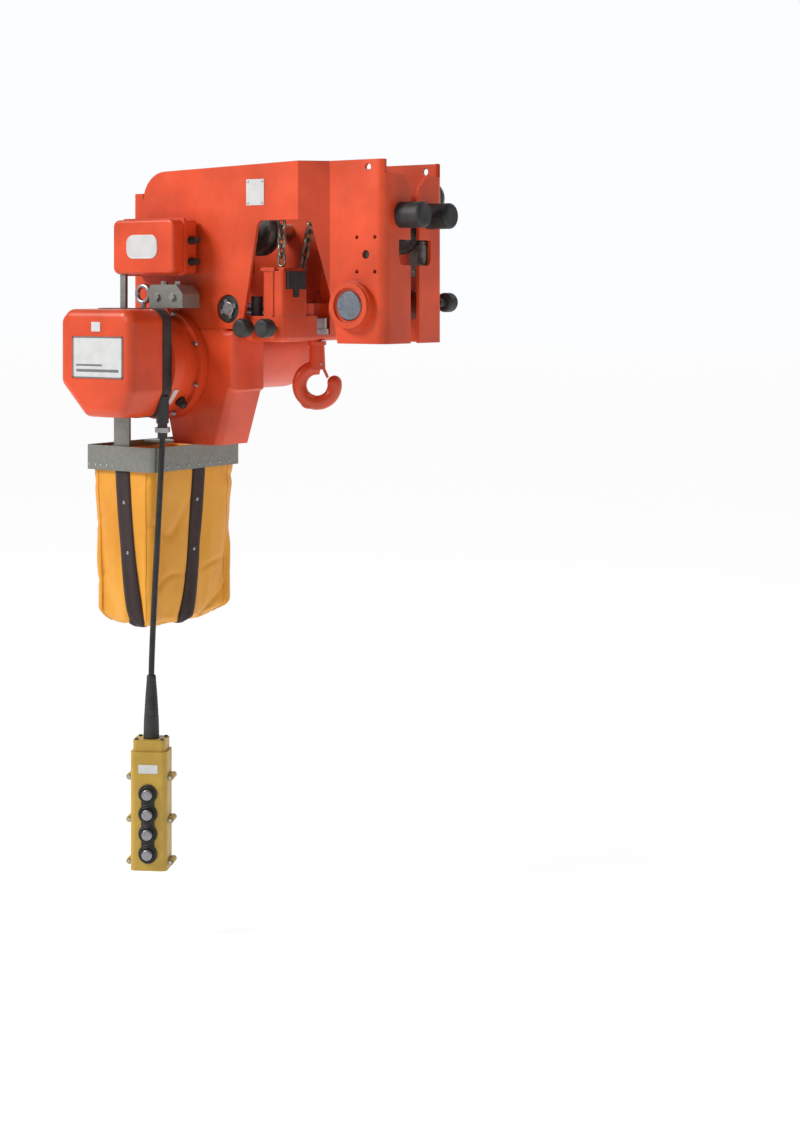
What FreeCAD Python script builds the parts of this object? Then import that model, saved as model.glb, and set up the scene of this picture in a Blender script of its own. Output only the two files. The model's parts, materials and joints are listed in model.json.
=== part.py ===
"""Super-low-headroom electric chain hoist with a motor trolley, 1 tonne class.

Frame: +X along the beam, +Z up, -Y towards the hoist's front.  The origin is on the beam
flange's running surface (Z = 0), in the plane of the beam's web (Y = 0), above the hook.
All sizes are in millimetres.
"""
import FreeCAD
import Part
import math
import os

V = FreeCAD.Vector
os.makedirs("parts", exist_ok=True)

# ---- trolley side frames -------------------------------------------------------------
PLATE = 8.0                 # thickness of the bent steel side frames
WIDE_Y = 165.0              # outer face of the wide bay, from the web plane
NARROW_Y = 115.0            # outer face of the narrow bay
FRAME_LEFT = -416.0
FRAME_RIGHT = 269.0
JOGGLE_X = (72.0, 121.0)    # where the slanted joggle starts and ends
FRAME_TOP = 195.0
TOP_FALL = 14.0             # how far the wide bay's top edge falls towards its outer end
FRAME_BOTTOM = -205.0
LEFT_BOTTOM = -175.0
WEB_GAP = 17.0              # half of the gap left for the beam's web
BEND_R = 22.0
CUT_TOP = 66.0              # top of the open-bottomed cut-out
CUT_X = (-40.0, 91.0)       # cut-out's width at its top
CUT_FOOT_X = (-92.0, 143.0)

# ---- wheels, rollers and travel drive ------------------------------------------------
FLANGE_HALF = 50.0          # half width of the beam flange that the trolley is set for
WHEEL_X = (-205.0, 186.0)
WHEEL_R = 50.0
RIM_R = 58.0
AXLE_R = 10.0
FIT = 0.05                  # radial clearance of a running fit
MODULE = 2.8
WHEEL_TEETH = 40
PINION_TEETH = 16
DRIVE_ANGLE = 110.0         # where the drive pinion sits round the rear right wheel
ROLLER_X = (-352.0, 247.0)
ROLLER_R = 11.0
ROLLER_PIN_R = 5.0
ROLLER_Y = FLANGE_HALF + ROLLER_R + 1.5
ROLLER_Z = (-30.0, 14.0)
PATTERN = (218.0, -11.0)    # centre of the roller bracket's bolt pattern, X and Z
PATTERN_STEP = (48.0, 75.0)
PATTERN_HOLE_R = 4.5
LIFT_EYE = (224.0, 178.0)   # hole for a tow link near the frame's top corner
LIFT_EYE_R = 8.0

# ---- tie shafts -----------------------------------------------------------------------
RIGHT_TIE = (185.0, -122.0)
RIGHT_TIE_R = 33.0
BOSS_R = 54.0
BOSS_Y = 130.0
LEFT_TIE = (-126.0, -130.0)
LEFT_TIE_R = 14.0
LEFT_HOLE_R = 32.0
COLLAR_R = 40.0             # the left tie shaft's collar, behind its round hole
COLLAR_T = 6.0

# ---- hook block, chain and hook -------------------------------------------------------
CHAIN_X = -10.0
CHAIN_Y = 118.0
CHAIN_D = 7.1
CHAIN_W = 24.0
CHAIN_TOP = 184.0
TOWER_X = (-39.0, 18.0)
TOWER_Y = (60.0, 150.0)
TOWER_TOP = -38.0
BASE_X = (-92.0, 18.0)
BASE_Y = 150.0
BASE_Z = (-203.0, -146.0)
SHOULDER_Z = -118.0
HOOK_R = 40.0               # radius of the hook's bowl at the section's middle
HOOK_SECTION = 16.5         # radius of the bowl's round section
THROAT = (8.0, 78.0)        # angles between which the bowl is open, from the tip's side
LATCH_PIN_R = 2.6
HOOK_TURN = 37.0
SHANK_R = 10.0
HOOK_EYE_Z = -304.0         # centre of the bowl
IDLER_R = 42.0
IDLER_Z = 118.0

# ---- hoist body -------------------------------------------------------------------------
MOTOR = (-310.0, -255.0)    # motor axis, X and Z
COVER_HALF = 108.0
COVER_Z = (-368.0, -130.0)
COVER_Y = (-400.0, -298.0)
GASKET_Y = -270.0
MOTOR_Y = -190.0
FLANGE_Y = -165.0
CASE_Y = (-157.0, -62.0)
HOUSING_END = 157.0
HOUSING_R = 96.0
MOTOR_PINION_TEETH = 15
LIFT_TEETH = 60
GEAR_MODULE = 2.5
LIFT_WHEEL_R = 44.0         # pitch radius of the chain on the lift wheel
GROOVE_HALF = 12.3          # half width of the chain groove in sheaves and lift wheels
GROOVE_DEPTH = 11.8         # depth of the groove below the pitch radius
SHAFT_R = 14.0

# ---- chain bag --------------------------------------------------------------------------
BAG_X = (-430.0, -225.0)
BAG_Y = (-305.0, 4.0)
BAG_FRAME_Z = (-493.0, -438.0)
BAG_TOP = -450.0
BAG_BOTTOM = -840.0
SHEET = 2.5
STRAP_W = 42.0

# ---- control box ------------------------------------------------------------------------
BOX_X = (-391.0, -209.0)
BOX_Y = (-255.0, -176.0)
BOX_Z = (-52.0, 71.0)

# ---- pendant and its cord ---------------------------------------------------------------
GLAND = (-213.0, -286.0)    # where the cord leaves its gland, X and Y
CORD_X = -210.0             # where the pendant hangs
CORD_Y = -326.0
CORD_D = 13.0
CORD_POINTS = [
    (GLAND[0], GLAND[1], -417.0),
    (GLAND[0], GLAND[1] - 4.0, -480.0),
    (CORD_X, CORD_Y + 2.0, -860.0),
    (CORD_X, CORD_Y, -933.0),
]
BOOT_Z = (-1072.0, -933.0)
PENDANT_Z = (-1356.0, -1072.0)
PENDANT_W = 82.0
PENDANT_D = 62.0
PENDANT_TURN = 28.0
NECK_BLOCK = (72.0, 54.0, 25.0)   # width, depth and height of the narrower top block
BUTTON_Z = (-1188.0, -1231.5, -1275.0, -1318.5)
BUTTON_R = 12.0
BOOT_LOBE_R = 21.0
LUG_Z = (-1155.0, -1248.0, -1340.0)
LUG_OUT = 5.0               # how far the screw lugs stand out from the shells


# ---- helpers ----------------------------------------------------------------------------
def box(x, y, z):
    """A block between the given low and high X, Y and Z."""
    return Part.makeBox(x[1] - x[0], y[1] - y[0], z[1] - z[0], V(x[0], y[0], z[0]))


def rod(radius, start, end):
    """A cylinder from one point to another."""
    a, b = V(*start), V(*end)
    return Part.makeCylinder(radius, (b - a).Length, a, b - a)


def rod_y(radius, centre, y):
    """A cylinder along Y about an (X, Z) centre."""
    return rod(radius, (centre[0], min(y), centre[1]), (centre[0], max(y), centre[1]))


def rod_z(radius, x, y, z):
    return rod(radius, (x, y, min(z)), (x, y, max(z)))


def ring_y(outer, inner, centre, y):
    return rod_y(outer, centre, y).cut(rod_y(inner, centre, (min(y) - 1, max(y) + 1)))


def prism_xz(points, y):
    """An outline in X and Z, extruded between two values of Y."""
    loop = [V(px, y[0], pz) for px, pz in points]
    face = Part.Face(Part.makePolygon(loop + loop[:1]))
    return face.extrude(V(0, y[1] - y[0], 0))


def prism_xy(points, z):
    """An outline in X and Y, extruded between two values of Z."""
    loop = [V(px, py, z[0]) for px, py in points]
    face = Part.Face(Part.makePolygon(loop + loop[:1]))
    return face.extrude(V(0, 0, z[1] - z[0]))


def mirror_y(shape):
    return shape.mirror(V(0, 0, 0), V(0, 1, 0))


def along(edge, axis):
    """Whether a straight edge runs along the given axis, 0 for X, 1 for Y, 2 for Z."""
    if len(edge.Vertexes) != 2:
        return False
    step = edge.Vertexes[1].Point - edge.Vertexes[0].Point
    return step.Length > 0 and abs(abs(step[axis]) / step.Length - 1) < 1e-6


def round_edges(shape, radius, axis, keep=lambda p: True):
    """Rounds the straight edges along one axis whose middle passes the test."""
    edges = [e for e in shape.Edges if along(e, axis) and keep(e.CenterOfMass)]
    return shape.makeFillet(radius, edges)


def turned(shape, degrees, x, y):
    """The shape turned about a vertical line through (x, y)."""
    copy = shape.copy()
    copy.rotate(V(x, y, 0), V(0, 0, 1), degrees)
    return copy


def gear_y(module, teeth, centre, y, bore, phase):
    """A spur gear with involute flanks; one tooth points along the angle phase."""
    pitch_r = module * teeth / 2
    base_r = pitch_r * math.cos(math.radians(20))
    root_r = pitch_r - 1.25 * module
    tip_r = pitch_r + 0.95 * module
    slack = 0.035 * module / pitch_r
    flank = [max(base_r, root_r) + (tip_r - max(base_r, root_r)) * k / 3 for k in range(4)]

    def half_angle(r):
        roll = math.acos(min(1.0, base_r / r))
        start = math.radians(20)
        lift = (math.tan(start) - start) - (math.tan(roll) - roll)
        return math.pi / (2 * teeth) + lift - slack

    points = []
    for tooth in range(teeth):
        middle = phase + 2 * math.pi * tooth / teeth
        side = [(root_r, half_angle(flank[0]))] + [(r, half_angle(r)) for r in flank]
        if root_r >= base_r:
            side = side[1:]
        for r, a in side:
            points.append((centre[0] + r * math.cos(middle - a), centre[1] + r * math.sin(middle - a)))
        for r, a in reversed(side):
            points.append((centre[0] + r * math.cos(middle + a), centre[1] + r * math.sin(middle + a)))
    blank = prism_xz(points, y)
    if bore:
        blank = blank.cut(rod_y(bore, centre, (min(y) - 1, max(y) + 1)))
    return blank


def save(name, *shapes):
    """Writes one node from its separate solids."""
    solids = [s for shape in shapes for s in shape.Solids]
    whole = solids[0] if len(solids) == 1 else Part.makeCompound(solids)
    whole.exportStep("parts/" + name + ".step")


# ---- trolley ------------------------------------------------------------------------------
def side_frame():
    """The front side frame: a bent plate with a wide bay, a joggle and a narrow bay."""
    t = PLATE
    slant = t * 0.42
    outer = [
        (FRAME_LEFT, -WEB_GAP), (FRAME_LEFT, -WIDE_Y), (JOGGLE_X[0], -WIDE_Y),
        (JOGGLE_X[1], -NARROW_Y), (FRAME_RIGHT, -NARROW_Y), (FRAME_RIGHT, -WEB_GAP),
    ]
    inner = [
        (FRAME_RIGHT - t, -WEB_GAP), (FRAME_RIGHT - t, -NARROW_Y + t),
        (JOGGLE_X[1] - t + slant, -NARROW_Y + t), (JOGGLE_X[0] - t + slant, -WIDE_Y + t),
        (FRAME_LEFT + t, -WIDE_Y + t), (FRAME_LEFT + t, -WEB_GAP),
    ]
    plate = prism_xy(outer + inner, (FRAME_BOTTOM, FRAME_TOP))
    plate = round_edges(plate, BEND_R, 2, lambda p: p.x > FRAME_RIGHT - 1 and p.y < -NARROW_Y + 1)
    plate = round_edges(plate, BEND_R - t, 2,
                        lambda p: abs(p.x - FRAME_RIGHT + t) < 1 and abs(p.y + NARROW_Y - t) < 1)
    plate = round_edges(plate, BEND_R, 2, lambda p: p.x < FRAME_LEFT + 1 and p.y < -WIDE_Y + 1)
    # the outline seen from the front: rounded top left, stepped left edge, raised left foot
    step_z = 135.0
    step_x = FRAME_LEFT + 38.0
    corner_r = 66.0
    above = box((FRAME_LEFT - 5, step_x), (-WIDE_Y - 5, 0), (step_z, FRAME_TOP + 5))
    arc_top = FRAME_TOP - TOP_FALL + 3
    notch = box((step_x - 1, step_x + corner_r), (-WIDE_Y - 5, 0), (arc_top - corner_r, FRAME_TOP + 5))
    notch = notch.cut(rod_y(corner_r, (step_x + corner_r, arc_top - corner_r), (-WIDE_Y - 6, 1)))
    foot = box((FRAME_LEFT - 5, CUT_FOOT_X[0] + 30), (-WIDE_Y - 5, 0), (FRAME_BOTTOM - 5, LEFT_BOTTOM))
    window = prism_xz([(CUT_X[0], CUT_TOP), (CUT_X[1], CUT_TOP), (CUT_FOOT_X[1], FRAME_BOTTOM - 5),
                       (CUT_FOOT_X[0], FRAME_BOTTOM - 5)], (-WIDE_Y - 5, 0))
    window = round_edges(window, 14.0, 1, lambda p: p.z > CUT_TOP - 1)
    # the end flange is lower than the side, with a V-shaped notch beside the web
    end_top = FRAME_TOP - 30.0
    end_low = box((FRAME_RIGHT - t - 0.5, FRAME_RIGHT + 5), (-NARROW_Y + t, 5), (end_top, FRAME_TOP + 5))
    vee = Part.Face(Part.makePolygon([
        V(FRAME_RIGHT - t - 1, -WEB_GAP - 34, end_top + 1), V(FRAME_RIGHT - t - 1, 1, end_top + 1),
        V(FRAME_RIGHT - t - 1, 1, end_top - 46), V(FRAME_RIGHT - t - 1, -WEB_GAP - 34, end_top + 1)]))
    vee = vee.extrude(V(t + 5, 0, 0))
    # the slot that lets the beam's flange through both end flanges
    slot = box((FRAME_LEFT - 5, FRAME_RIGHT + 5), (-FLANGE_HALF - 12, 5), (-34.0, 22.0))
    slot = round_edges(slot, 16.0, 0, lambda p: p.z < 0 and p.y < -20)
    wedge = prism_xz([(FRAME_LEFT - 5, FRAME_TOP + 5), (JOGGLE_X[0], FRAME_TOP + 5), (JOGGLE_X[0], FRAME_TOP),
                      (FRAME_LEFT - 5, FRAME_TOP - TOP_FALL)], (-WIDE_Y - 5, 0))
    plate = plate.cut([above, notch, foot, window, end_low, vee, slot, wedge])
    for dx in (-1, 1):
        for dz in (-1, 1):
            hole = (PATTERN[0] + dx * PATTERN_STEP[0] / 2, PATTERN[1] + dz * PATTERN_STEP[1] / 2)
            plate = plate.cut(rod_y(PATTERN_HOLE_R, hole, (-NARROW_Y - 5, -NARROW_Y + 20)))
    plate = plate.cut(rod_y(9.5, PATTERN, (-NARROW_Y - 5, -NARROW_Y + 20)))
    plate = plate.cut(rod_y(LIFT_EYE_R, LIFT_EYE, (-NARROW_Y - 5, -NARROW_Y + 20)))
    plate = plate.cut(rod_y(LEFT_HOLE_R, LEFT_TIE, (-WIDE_Y - 5, -WIDE_Y + 20)))
    boss = rod_y(BOSS_R, RIGHT_TIE, (-BOSS_Y, -NARROW_Y + 1))
    rim = ring_y(BOSS_R - 4, RIGHT_TIE_R + 6, RIGHT_TIE, (-BOSS_Y - 6, -BOSS_Y + 1))
    plate = plate.fuse([boss, rim]).removeSplitter()
    plate = plate.cut(rod_y(RIGHT_TIE_R, RIGHT_TIE, (-BOSS_Y - 10, 0)))
    return plate.cut(window)


def welded_on(side):
    """The tie shaft's collar and the hoist's hanger plate, on a frame's inner face."""
    axis = lift_axis()
    face = side * (WIDE_Y - PLATE)
    collar = ring_y(COLLAR_R, LEFT_TIE_R, LEFT_TIE, (face, face - side * COLLAR_T))
    low = -160.0 if side > 0 else -138.0
    plate = box((axis[0] - 34, axis[0] + 20), sorted((face, face - side * 12)), (low, -90.0))
    if side > 0:
        plate = plate.cut(rod_y(HOUSING_R + 0.1, axis, (0, 200)))
    return [collar, plate]


def trolley():
    front = side_frame()
    rear = mirror_y(front)
    front = front.fuse(welded_on(-1)).removeSplitter()
    rear = rear.fuse(welded_on(1)).removeSplitter()
    distance = MODULE * (WHEEL_TEETH + PINION_TEETH) / 2
    angle = math.radians(DRIVE_ANGLE)
    pinion = (WHEEL_X[1] + distance * math.cos(angle), WHEEL_R + distance * math.sin(angle))
    rear = rear.cut(rod_y(16.0, pinion, (NARROW_Y - 20, NARROW_Y + 5)))
    save("front_side_frame", front)
    save("rear_side_frame", rear)
    right_tie = rod_y(RIGHT_TIE_R, RIGHT_TIE, (-BOSS_Y - 4, BOSS_Y + 4))
    right_tie = right_tie.makeChamfer(3.0, [e for e in right_tie.Edges if len(e.Vertexes) == 1])
    left_tie = rod_y(LEFT_TIE_R, LEFT_TIE, (-WIDE_Y + 2, WIDE_Y - 2))
    save("tie_shafts", right_tie, left_tie)
    save("wheel_and_idler_axles", *wheels_and_axles(angle), *idlers())
    guide_rollers(front, rear)
    bumpers = []
    for x, s in ((FRAME_RIGHT, 1), (FRAME_LEFT, -1)):
        for side in (-1, 1):
            pad = rod(28.5, (x, side * 53, 75), (x + s * 64, side * 53, 75))
            tip = [e for e in pad.Edges if len(e.Vertexes) == 1 and abs(e.CenterOfMass.x - x) > 60]
            bumpers.append(pad.makeFillet(9.0, tip))
    save("bumpers", *bumpers)
    travel_drive(pinion, angle)


def wheels_and_axles(drive_angle):
    """Four running wheels on stub axles; the rear right wheel carries the gear rim."""
    axles = []
    for x, end in zip(WHEEL_X, ("left", "right")):
        plate_y = WIDE_Y - PLATE if end == "left" else NARROW_Y - PLATE
        centre = (x, WHEEL_R)
        stub = rod_y(AXLE_R, centre, (-plate_y, -22.0))
        head = rod_y(15.0, centre, (-25.5, -21.0))
        root = rod_y(20.0 if end == "left" else 12.0, centre, (-plate_y, -72.5))
        axle = stub.fuse([head, root]).removeSplitter()
        axles.append(axle)
        axles.append(mirror_y(axle))
        tread = rod_y(WHEEL_R, centre, (-50.0, -26.0))
        rim = rod_y(RIM_R, centre, (-57.0, -51.5))
        hub = rod_y(30.0, centre, (-72.0, -51.5))
        link = rod_y(40.0, centre, (-51.5, -49.0))
        wheel = tread.fuse([rim, hub, link]).removeSplitter()
        wheel = wheel.cut(rod_y(AXLE_R + FIT, centre, (-80, -20)))
        save("front_" + end + "_wheel", wheel)
        rear = mirror_y(wheel)
        if end == "right":
            gear = gear_y(MODULE, WHEEL_TEETH, centre, (59.0, 69.0), 29.0, drive_angle)
            spacer = rod_y(34.0, centre, (56.0, 69.0)).cut(rod_y(AXLE_R + FIT, centre, (50, 75)))
            rear = rear.fuse([gear, spacer]).removeSplitter()
        save("rear_" + end + "_wheel", rear)
    return axles


def guide_rollers(front_frame, rear_frame):
    """Upright rollers that run on the flange's edges, on angle brackets."""
    brackets = []
    for x, end in zip(ROLLER_X, ("left", "right")):
        plate_y = WIDE_Y - PLATE if end == "left" else NARROW_Y - PLATE
        for s, side in ((-1, "front"), (1, "rear")):
            roller = rod_z(ROLLER_R, x, s * ROLLER_Y, ROLLER_Z)
            roller = roller.cut(rod_z(ROLLER_PIN_R + FIT, x, s * ROLLER_Y, (-60, 60)))
            save(side + "_" + end + "_guide_roller", roller)
            pin = rod_z(ROLLER_PIN_R, x, s * ROLLER_Y, (ROLLER_Z[0] - 8, ROLLER_Z[1] + 4))
            cap = rod_z(8.0, x, s * ROLLER_Y, (ROLLER_Z[1] + 1, ROLLER_Z[1] + 5))
            y_far = s * plate_y
            y_near = s * (ROLLER_Y - 9)
            shelf = box((x - 14, x + 14), sorted((y_near, y_far)), (ROLLER_Z[0] - 14, ROLLER_Z[0] - 8))
            if end == "left":
                back = box((x - 14, x + 40), sorted((y_far, y_far - s * 6)), (ROLLER_Z[0] - 14, 26.0))
            else:
                back = roller_plate(sorted((y_far, y_far - s * 6)))
            bracket = shelf.fuse([pin, cap, back]).removeSplitter()
            brackets.append(bracket.cut(front_frame if s < 0 else rear_frame))
    save("guide_roller_brackets", *brackets)


def roller_plate(y):
    """The right-hand bracket's back plate, with the side frame's bolt holes in it."""
    plate = box((PATTERN[0] - 34, PATTERN[0] + 46), y, (PATTERN[1] - 47, PATTERN[1] + 47))
    holes = [rod_y(9.5, PATTERN, (y[0] - 1, y[1] + 1))]
    for dx in (-0.5, 0.5):
        for dz in (-0.5, 0.5):
            centre = (PATTERN[0] + dx * PATTERN_STEP[0], PATTERN[1] + dz * PATTERN_STEP[1])
            holes.append(rod_y(PATTERN_HOLE_R, centre, (y[0] - 1, y[1] + 1)))
    return plate.cut(holes)


def travel_drive(centre, angle):
    """Gear case and motor behind the rear frame, with a pinion on the rear wheel's rim."""
    y0 = NARROW_Y
    x = (JOGGLE_X[1] + 3, centre[0] + 44)
    z = (centre[1] - 56, centre[1] + 50)
    case = round_edges(box(x, (y0, y0 + 44), z), 16.0, 1)
    case = case.cut(box((x[0] + 8, x[1] - 8), (y0 + 8, y0 + 36), (z[0] + 8, z[1] - 8)))
    case = case.cut(rod_y(7.0 + FIT, centre, (y0 - 5, y0 + 20)))
    save("travel_gearbox", case)
    motor_start = y0 + 44
    motor = rod_y(40.0, centre, (motor_start, motor_start + 66))
    fins = [ring_y(44.0, 39.0, centre, (motor_start + 8 + 11 * i, motor_start + 13 + 11 * i))
            for i in range(5)]
    save("travel_motor", motor.fuse(fins).removeSplitter())
    phase = angle + math.pi + math.pi / PINION_TEETH
    pinion = gear_y(MODULE, PINION_TEETH, centre, (58.0, 70.0), 0, phase)
    shaft = rod_y(7.0, centre, (56.0, y0 + 34))
    save("travel_pinion", pinion.fuse(shaft).removeSplitter())


# ---- hook block and hook -------------------------------------------------------------------
def idlers():
    """Idler sheaves in the bridge; each turns the chain from the lift wheel down to the hook."""
    pins = []
    cx = CHAIN_X - IDLER_R
    centre = (cx, IDLER_Z)
    for s, side in ((-1, "front"), (1, "rear")):
        y = s * CHAIN_Y
        wheel = rod_y(IDLER_R + 4, centre, (y - 17, y + 17))
        wheel = wheel.cut(ring_y(IDLER_R + 10, IDLER_R - GROOVE_DEPTH, centre,
                                 (y - GROOVE_HALF, y + GROOVE_HALF)))
        wheel = wheel.cut(rod_y(AXLE_R + FIT, centre, (y - 30, y + 30)))
        save(side + "_idler_sheave", wheel)
        pin = rod_y(AXLE_R, centre, (s * (WIDE_Y - PLATE), s * (CHAIN_Y - 32)))
        collar = rod_y(18.0, centre, (s * (WIDE_Y - PLATE), s * (CHAIN_Y + 17.5)))
        end = rod_y(16.0, centre, (s * (CHAIN_Y - 17.5), s * (CHAIN_Y - 24)))
        pins.append(pin.fuse([collar, end]).removeSplitter())
    return pins


def chain_strand(start, end):
    """One straight length of load chain, as the cross-shaped prism that its links fill."""
    a, b = V(*start), V(*end)
    length = (b - a).Length
    bars = []
    for turn in (45, 135):
        bar = Part.makeBox(CHAIN_W, CHAIN_D, length, V(-CHAIN_W / 2, -CHAIN_D / 2, 0))
        bar.rotate(V(0, 0, 0), V(0, 0, 1), turn)
        bars.append(bar)
    strand = bars[0].fuse(bars[1]).removeSplitter()
    strand.Placement = FreeCAD.Placement(a, FreeCAD.Rotation(V(0, 0, 1), b - a))
    return strand


def chains():
    """The two falls that carry the block, and the runs down to the lift wheels."""
    falls = []
    runs = []
    for s in (-1, 1):
        y = s * CHAIN_Y
        falls.append(chain_strand((CHAIN_X, y, TOWER_TOP + 1.0), (CHAIN_X, y, CHAIN_TOP)))
        start = (CHAIN_X - 2 * IDLER_R - 1.2, y, IDLER_Z)
        runs.append(chain_strand(start, (lift_axis()[0] + LIFT_WHEEL_R, y, lift_axis()[1])))
    save("chain_falls", *falls)
    save("chain_runs", *runs)


def hook_block():
    """The saddle block: a base under the beam with a tower each side of the flange."""
    base = box(BASE_X, (-BASE_Y, BASE_Y), BASE_Z)
    base = round_edges(base, 14.0, 2)
    base = round_edges(base, 10.0, 1, lambda p: p.z < BASE_Z[0] + 1)
    shoulders = box((TOWER_X[0] - 14, TOWER_X[1] - 6), (2 - TOWER_Y[0], TOWER_Y[0] - 2), (BASE_Z[1] - 1, SHOULDER_Z))
    shoulders = round_edges(shoulders, 12.0, 2)
    base = base.fuse(shoulders).removeSplitter()
    well = rod_z(30.0, 0.0, 0.0, (BASE_Z[0] + 14, SHOULDER_Z + 1))
    base = base.cut([well, rod_z(SHANK_R + FIT, 0, 0, (BASE_Z[0] - 5, BASE_Z[1]))])
    seats = []
    towers = []
    for s in (-1, 1):
        y = sorted((s * TOWER_Y[0], s * TOWER_Y[1]))
        tower = box(TOWER_X, y, (BASE_Z[1], TOWER_TOP - 8))
        tower = round_edges(tower, 7.0, 2)
        band = box((CHAIN_X - 3, CHAIN_X + 3), sorted((s * BASE_Y - s * 3, s * (BASE_Y + 3))),
                   (BASE_Z[1], TOWER_TOP - 8))
        lip = box((TOWER_X[0] - 2, TOWER_X[1] - 22), sorted((s * 70, s * (BASE_Y + 3))),
                  (TOWER_TOP - 8, TOWER_TOP))
        top = box((TOWER_X[0] + 2, TOWER_X[1] - 2), sorted((s * 72, s * (BASE_Y - 6))),
                  (TOWER_TOP - 8, TOWER_TOP))
        tower = tower.fuse([band, lip, top]).removeSplitter()
        towers.append(tower)
        seats.append(box((TOWER_X[1], TOWER_X[1] + 7), sorted((s * 74, s * 138)), (-86.0, -46.0)))
        seats.append(box((TOWER_X[1], TOWER_X[1] + 5), sorted((s * 96, s * 112)), (-104.0, -86.0)))
    save("block_base", base)
    save("block_towers", *towers)
    knobs = []
    for x in (-66.0, -4.0):
        for s in (-1, 1):
            stem = rod_y(6.0, (x, -172.0), (s * BASE_Y, s * (WIDE_Y + 3)))
            head = rod_y(21.0, (x, -172.0), (s * (WIDE_Y + 2.5), s * (WIDE_Y + 36)))
            ends = [e for e in head.Edges if len(e.Vertexes) == 1]
            knobs.append(head.makeFillet(8.0, ends).fuse(stem).removeSplitter())
    for x in (-72.0,):
        for y in (-128.0, 0.0, 128.0):
            knobs.append(rod_z(13.0, x, y, (BASE_Z[1], BASE_Z[1] + 44)))
    save("block_buffers", *knobs, *seats)
    nut = rod_z(22.0, 0, 0, (-176.0, -152.0)).cut(rod_z(SHANK_R - 2, 0, 0, (-180, -150)))
    bearing = ring_z(26.0, SHANK_R + 0.5, 0, 0, (-188.5, -176.3))
    save("hook_nut", nut)
    save("hook_thrust_bearing", bearing)


def ring_z(outer, inner, x, y, z):
    return rod_z(outer, x, y, z).cut(rod_z(inner, x, y, (min(z) - 1, max(z) + 1)))


def hook_and_latch():
    """A forged hook on a threaded shank, with a sheet latch across its throat."""
    cz = HOOK_EYE_Z
    bowl = Part.makeTorus(HOOK_R, HOOK_SECTION, V(0, 0, cz), V(0, 1, 0))
    far = 120.0
    wedge = [(0, cz)]
    for degrees in THROAT:
        a = math.radians(degrees)
        wedge.append((far * math.cos(a), cz + far * math.sin(a)))
    bowl = bowl.cut(prism_xz(wedge, (-40, 40)))
    a = math.radians(THROAT[0])
    tip = Part.makeSphere(HOOK_SECTION, V(HOOK_R * math.cos(a), 0, cz + HOOK_R * math.sin(a)))
    heel = Part.makeCylinder(HOOK_SECTION + 2.5, 2 * HOOK_SECTION - 6,
                             V(-HOOK_R * 0.5, -HOOK_SECTION + 3, cz - HOOK_R * 0.86), V(0, 1, 0))
    heel = heel.makeFillet(5.0, [e for e in heel.Edges if len(e.Vertexes) == 1])
    neck_top = BASE_Z[0] - 1.0
    neck = Part.makeCone(HOOK_SECTION + 3, HOOK_SECTION, neck_top - cz - HOOK_R + 4,
                         V(0, 0, cz + HOOK_R - 4), V(0, 0, 1))
    collar = rod_z(21.0, 0, 0, (neck_top - 9, neck_top))
    shank = rod_z(SHANK_R, 0, 0, (neck_top - 2, -188.0))
    thread = rod_z(SHANK_R - 2, 0, 0, (-189.0, -151.0))
    hook = bowl.fuse([tip, neck, collar, shank, thread, heel])
    hook = hook.cut(rod_y(HOOK_R - HOOK_SECTION, (0, cz), (-40, 40)))
    hook = hook.cut(box((1, 36), (-3.3, 3.3), (cz + 22, cz + 57)))
    pin_at = (9.0, cz + 47.0)
    hook = hook.cut(rod_y(LATCH_PIN_R, pin_at, (-40, 40)))
    pin = rod_y(LATCH_PIN_R, pin_at, (-14.5, 14.5))
    blade = prism_xz([(5.0, cz + 50), (14.0, cz + 49), (27.0, cz + 19), (22.0, cz + 15)], (-2.6, 2.6))
    blade = blade.fuse(rod_y(6.0, pin_at, (-2.6, 2.6)))
    blade = blade.cut(rod_y(LATCH_PIN_R + FIT, pin_at, (-10, 10))).removeSplitter()
    save("hook", turned(hook, HOOK_TURN, 0, 0))
    save("latch_pin", turned(pin, HOOK_TURN, 0, 0))
    save("hook_latch", turned(blade, HOOK_TURN, 0, 0))


# ---- hoist body --------------------------------------------------------------------------------
def lift_axis():
    """The lift shaft's axis, one gear centre distance from the motor's axis."""
    distance = GEAR_MODULE * (MOTOR_PINION_TEETH + LIFT_TEETH) / 2
    dx = 88.0
    return (MOTOR[0] + dx, MOTOR[1] + math.sqrt(distance ** 2 - dx ** 2))


def cover_shape(grow, y):
    """The brake cover's rounded outline between two Y values, grown by an amount."""
    cx = MOTOR[0]
    w = COVER_HALF + grow
    top = COVER_Z[1] + grow
    low = COVER_Z[0] - grow
    outline = [(cx - w + 22, top), (cx + w - 22, top), (cx + w, top - 22), (cx + w, low + 56),
               (cx + w - 26, low), (cx - w + 74, low), (cx - w, low + 74), (cx - w, top - 22)]
    return round_edges(prism_xz(outline, y), 24.0 + grow, 1)


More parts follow.
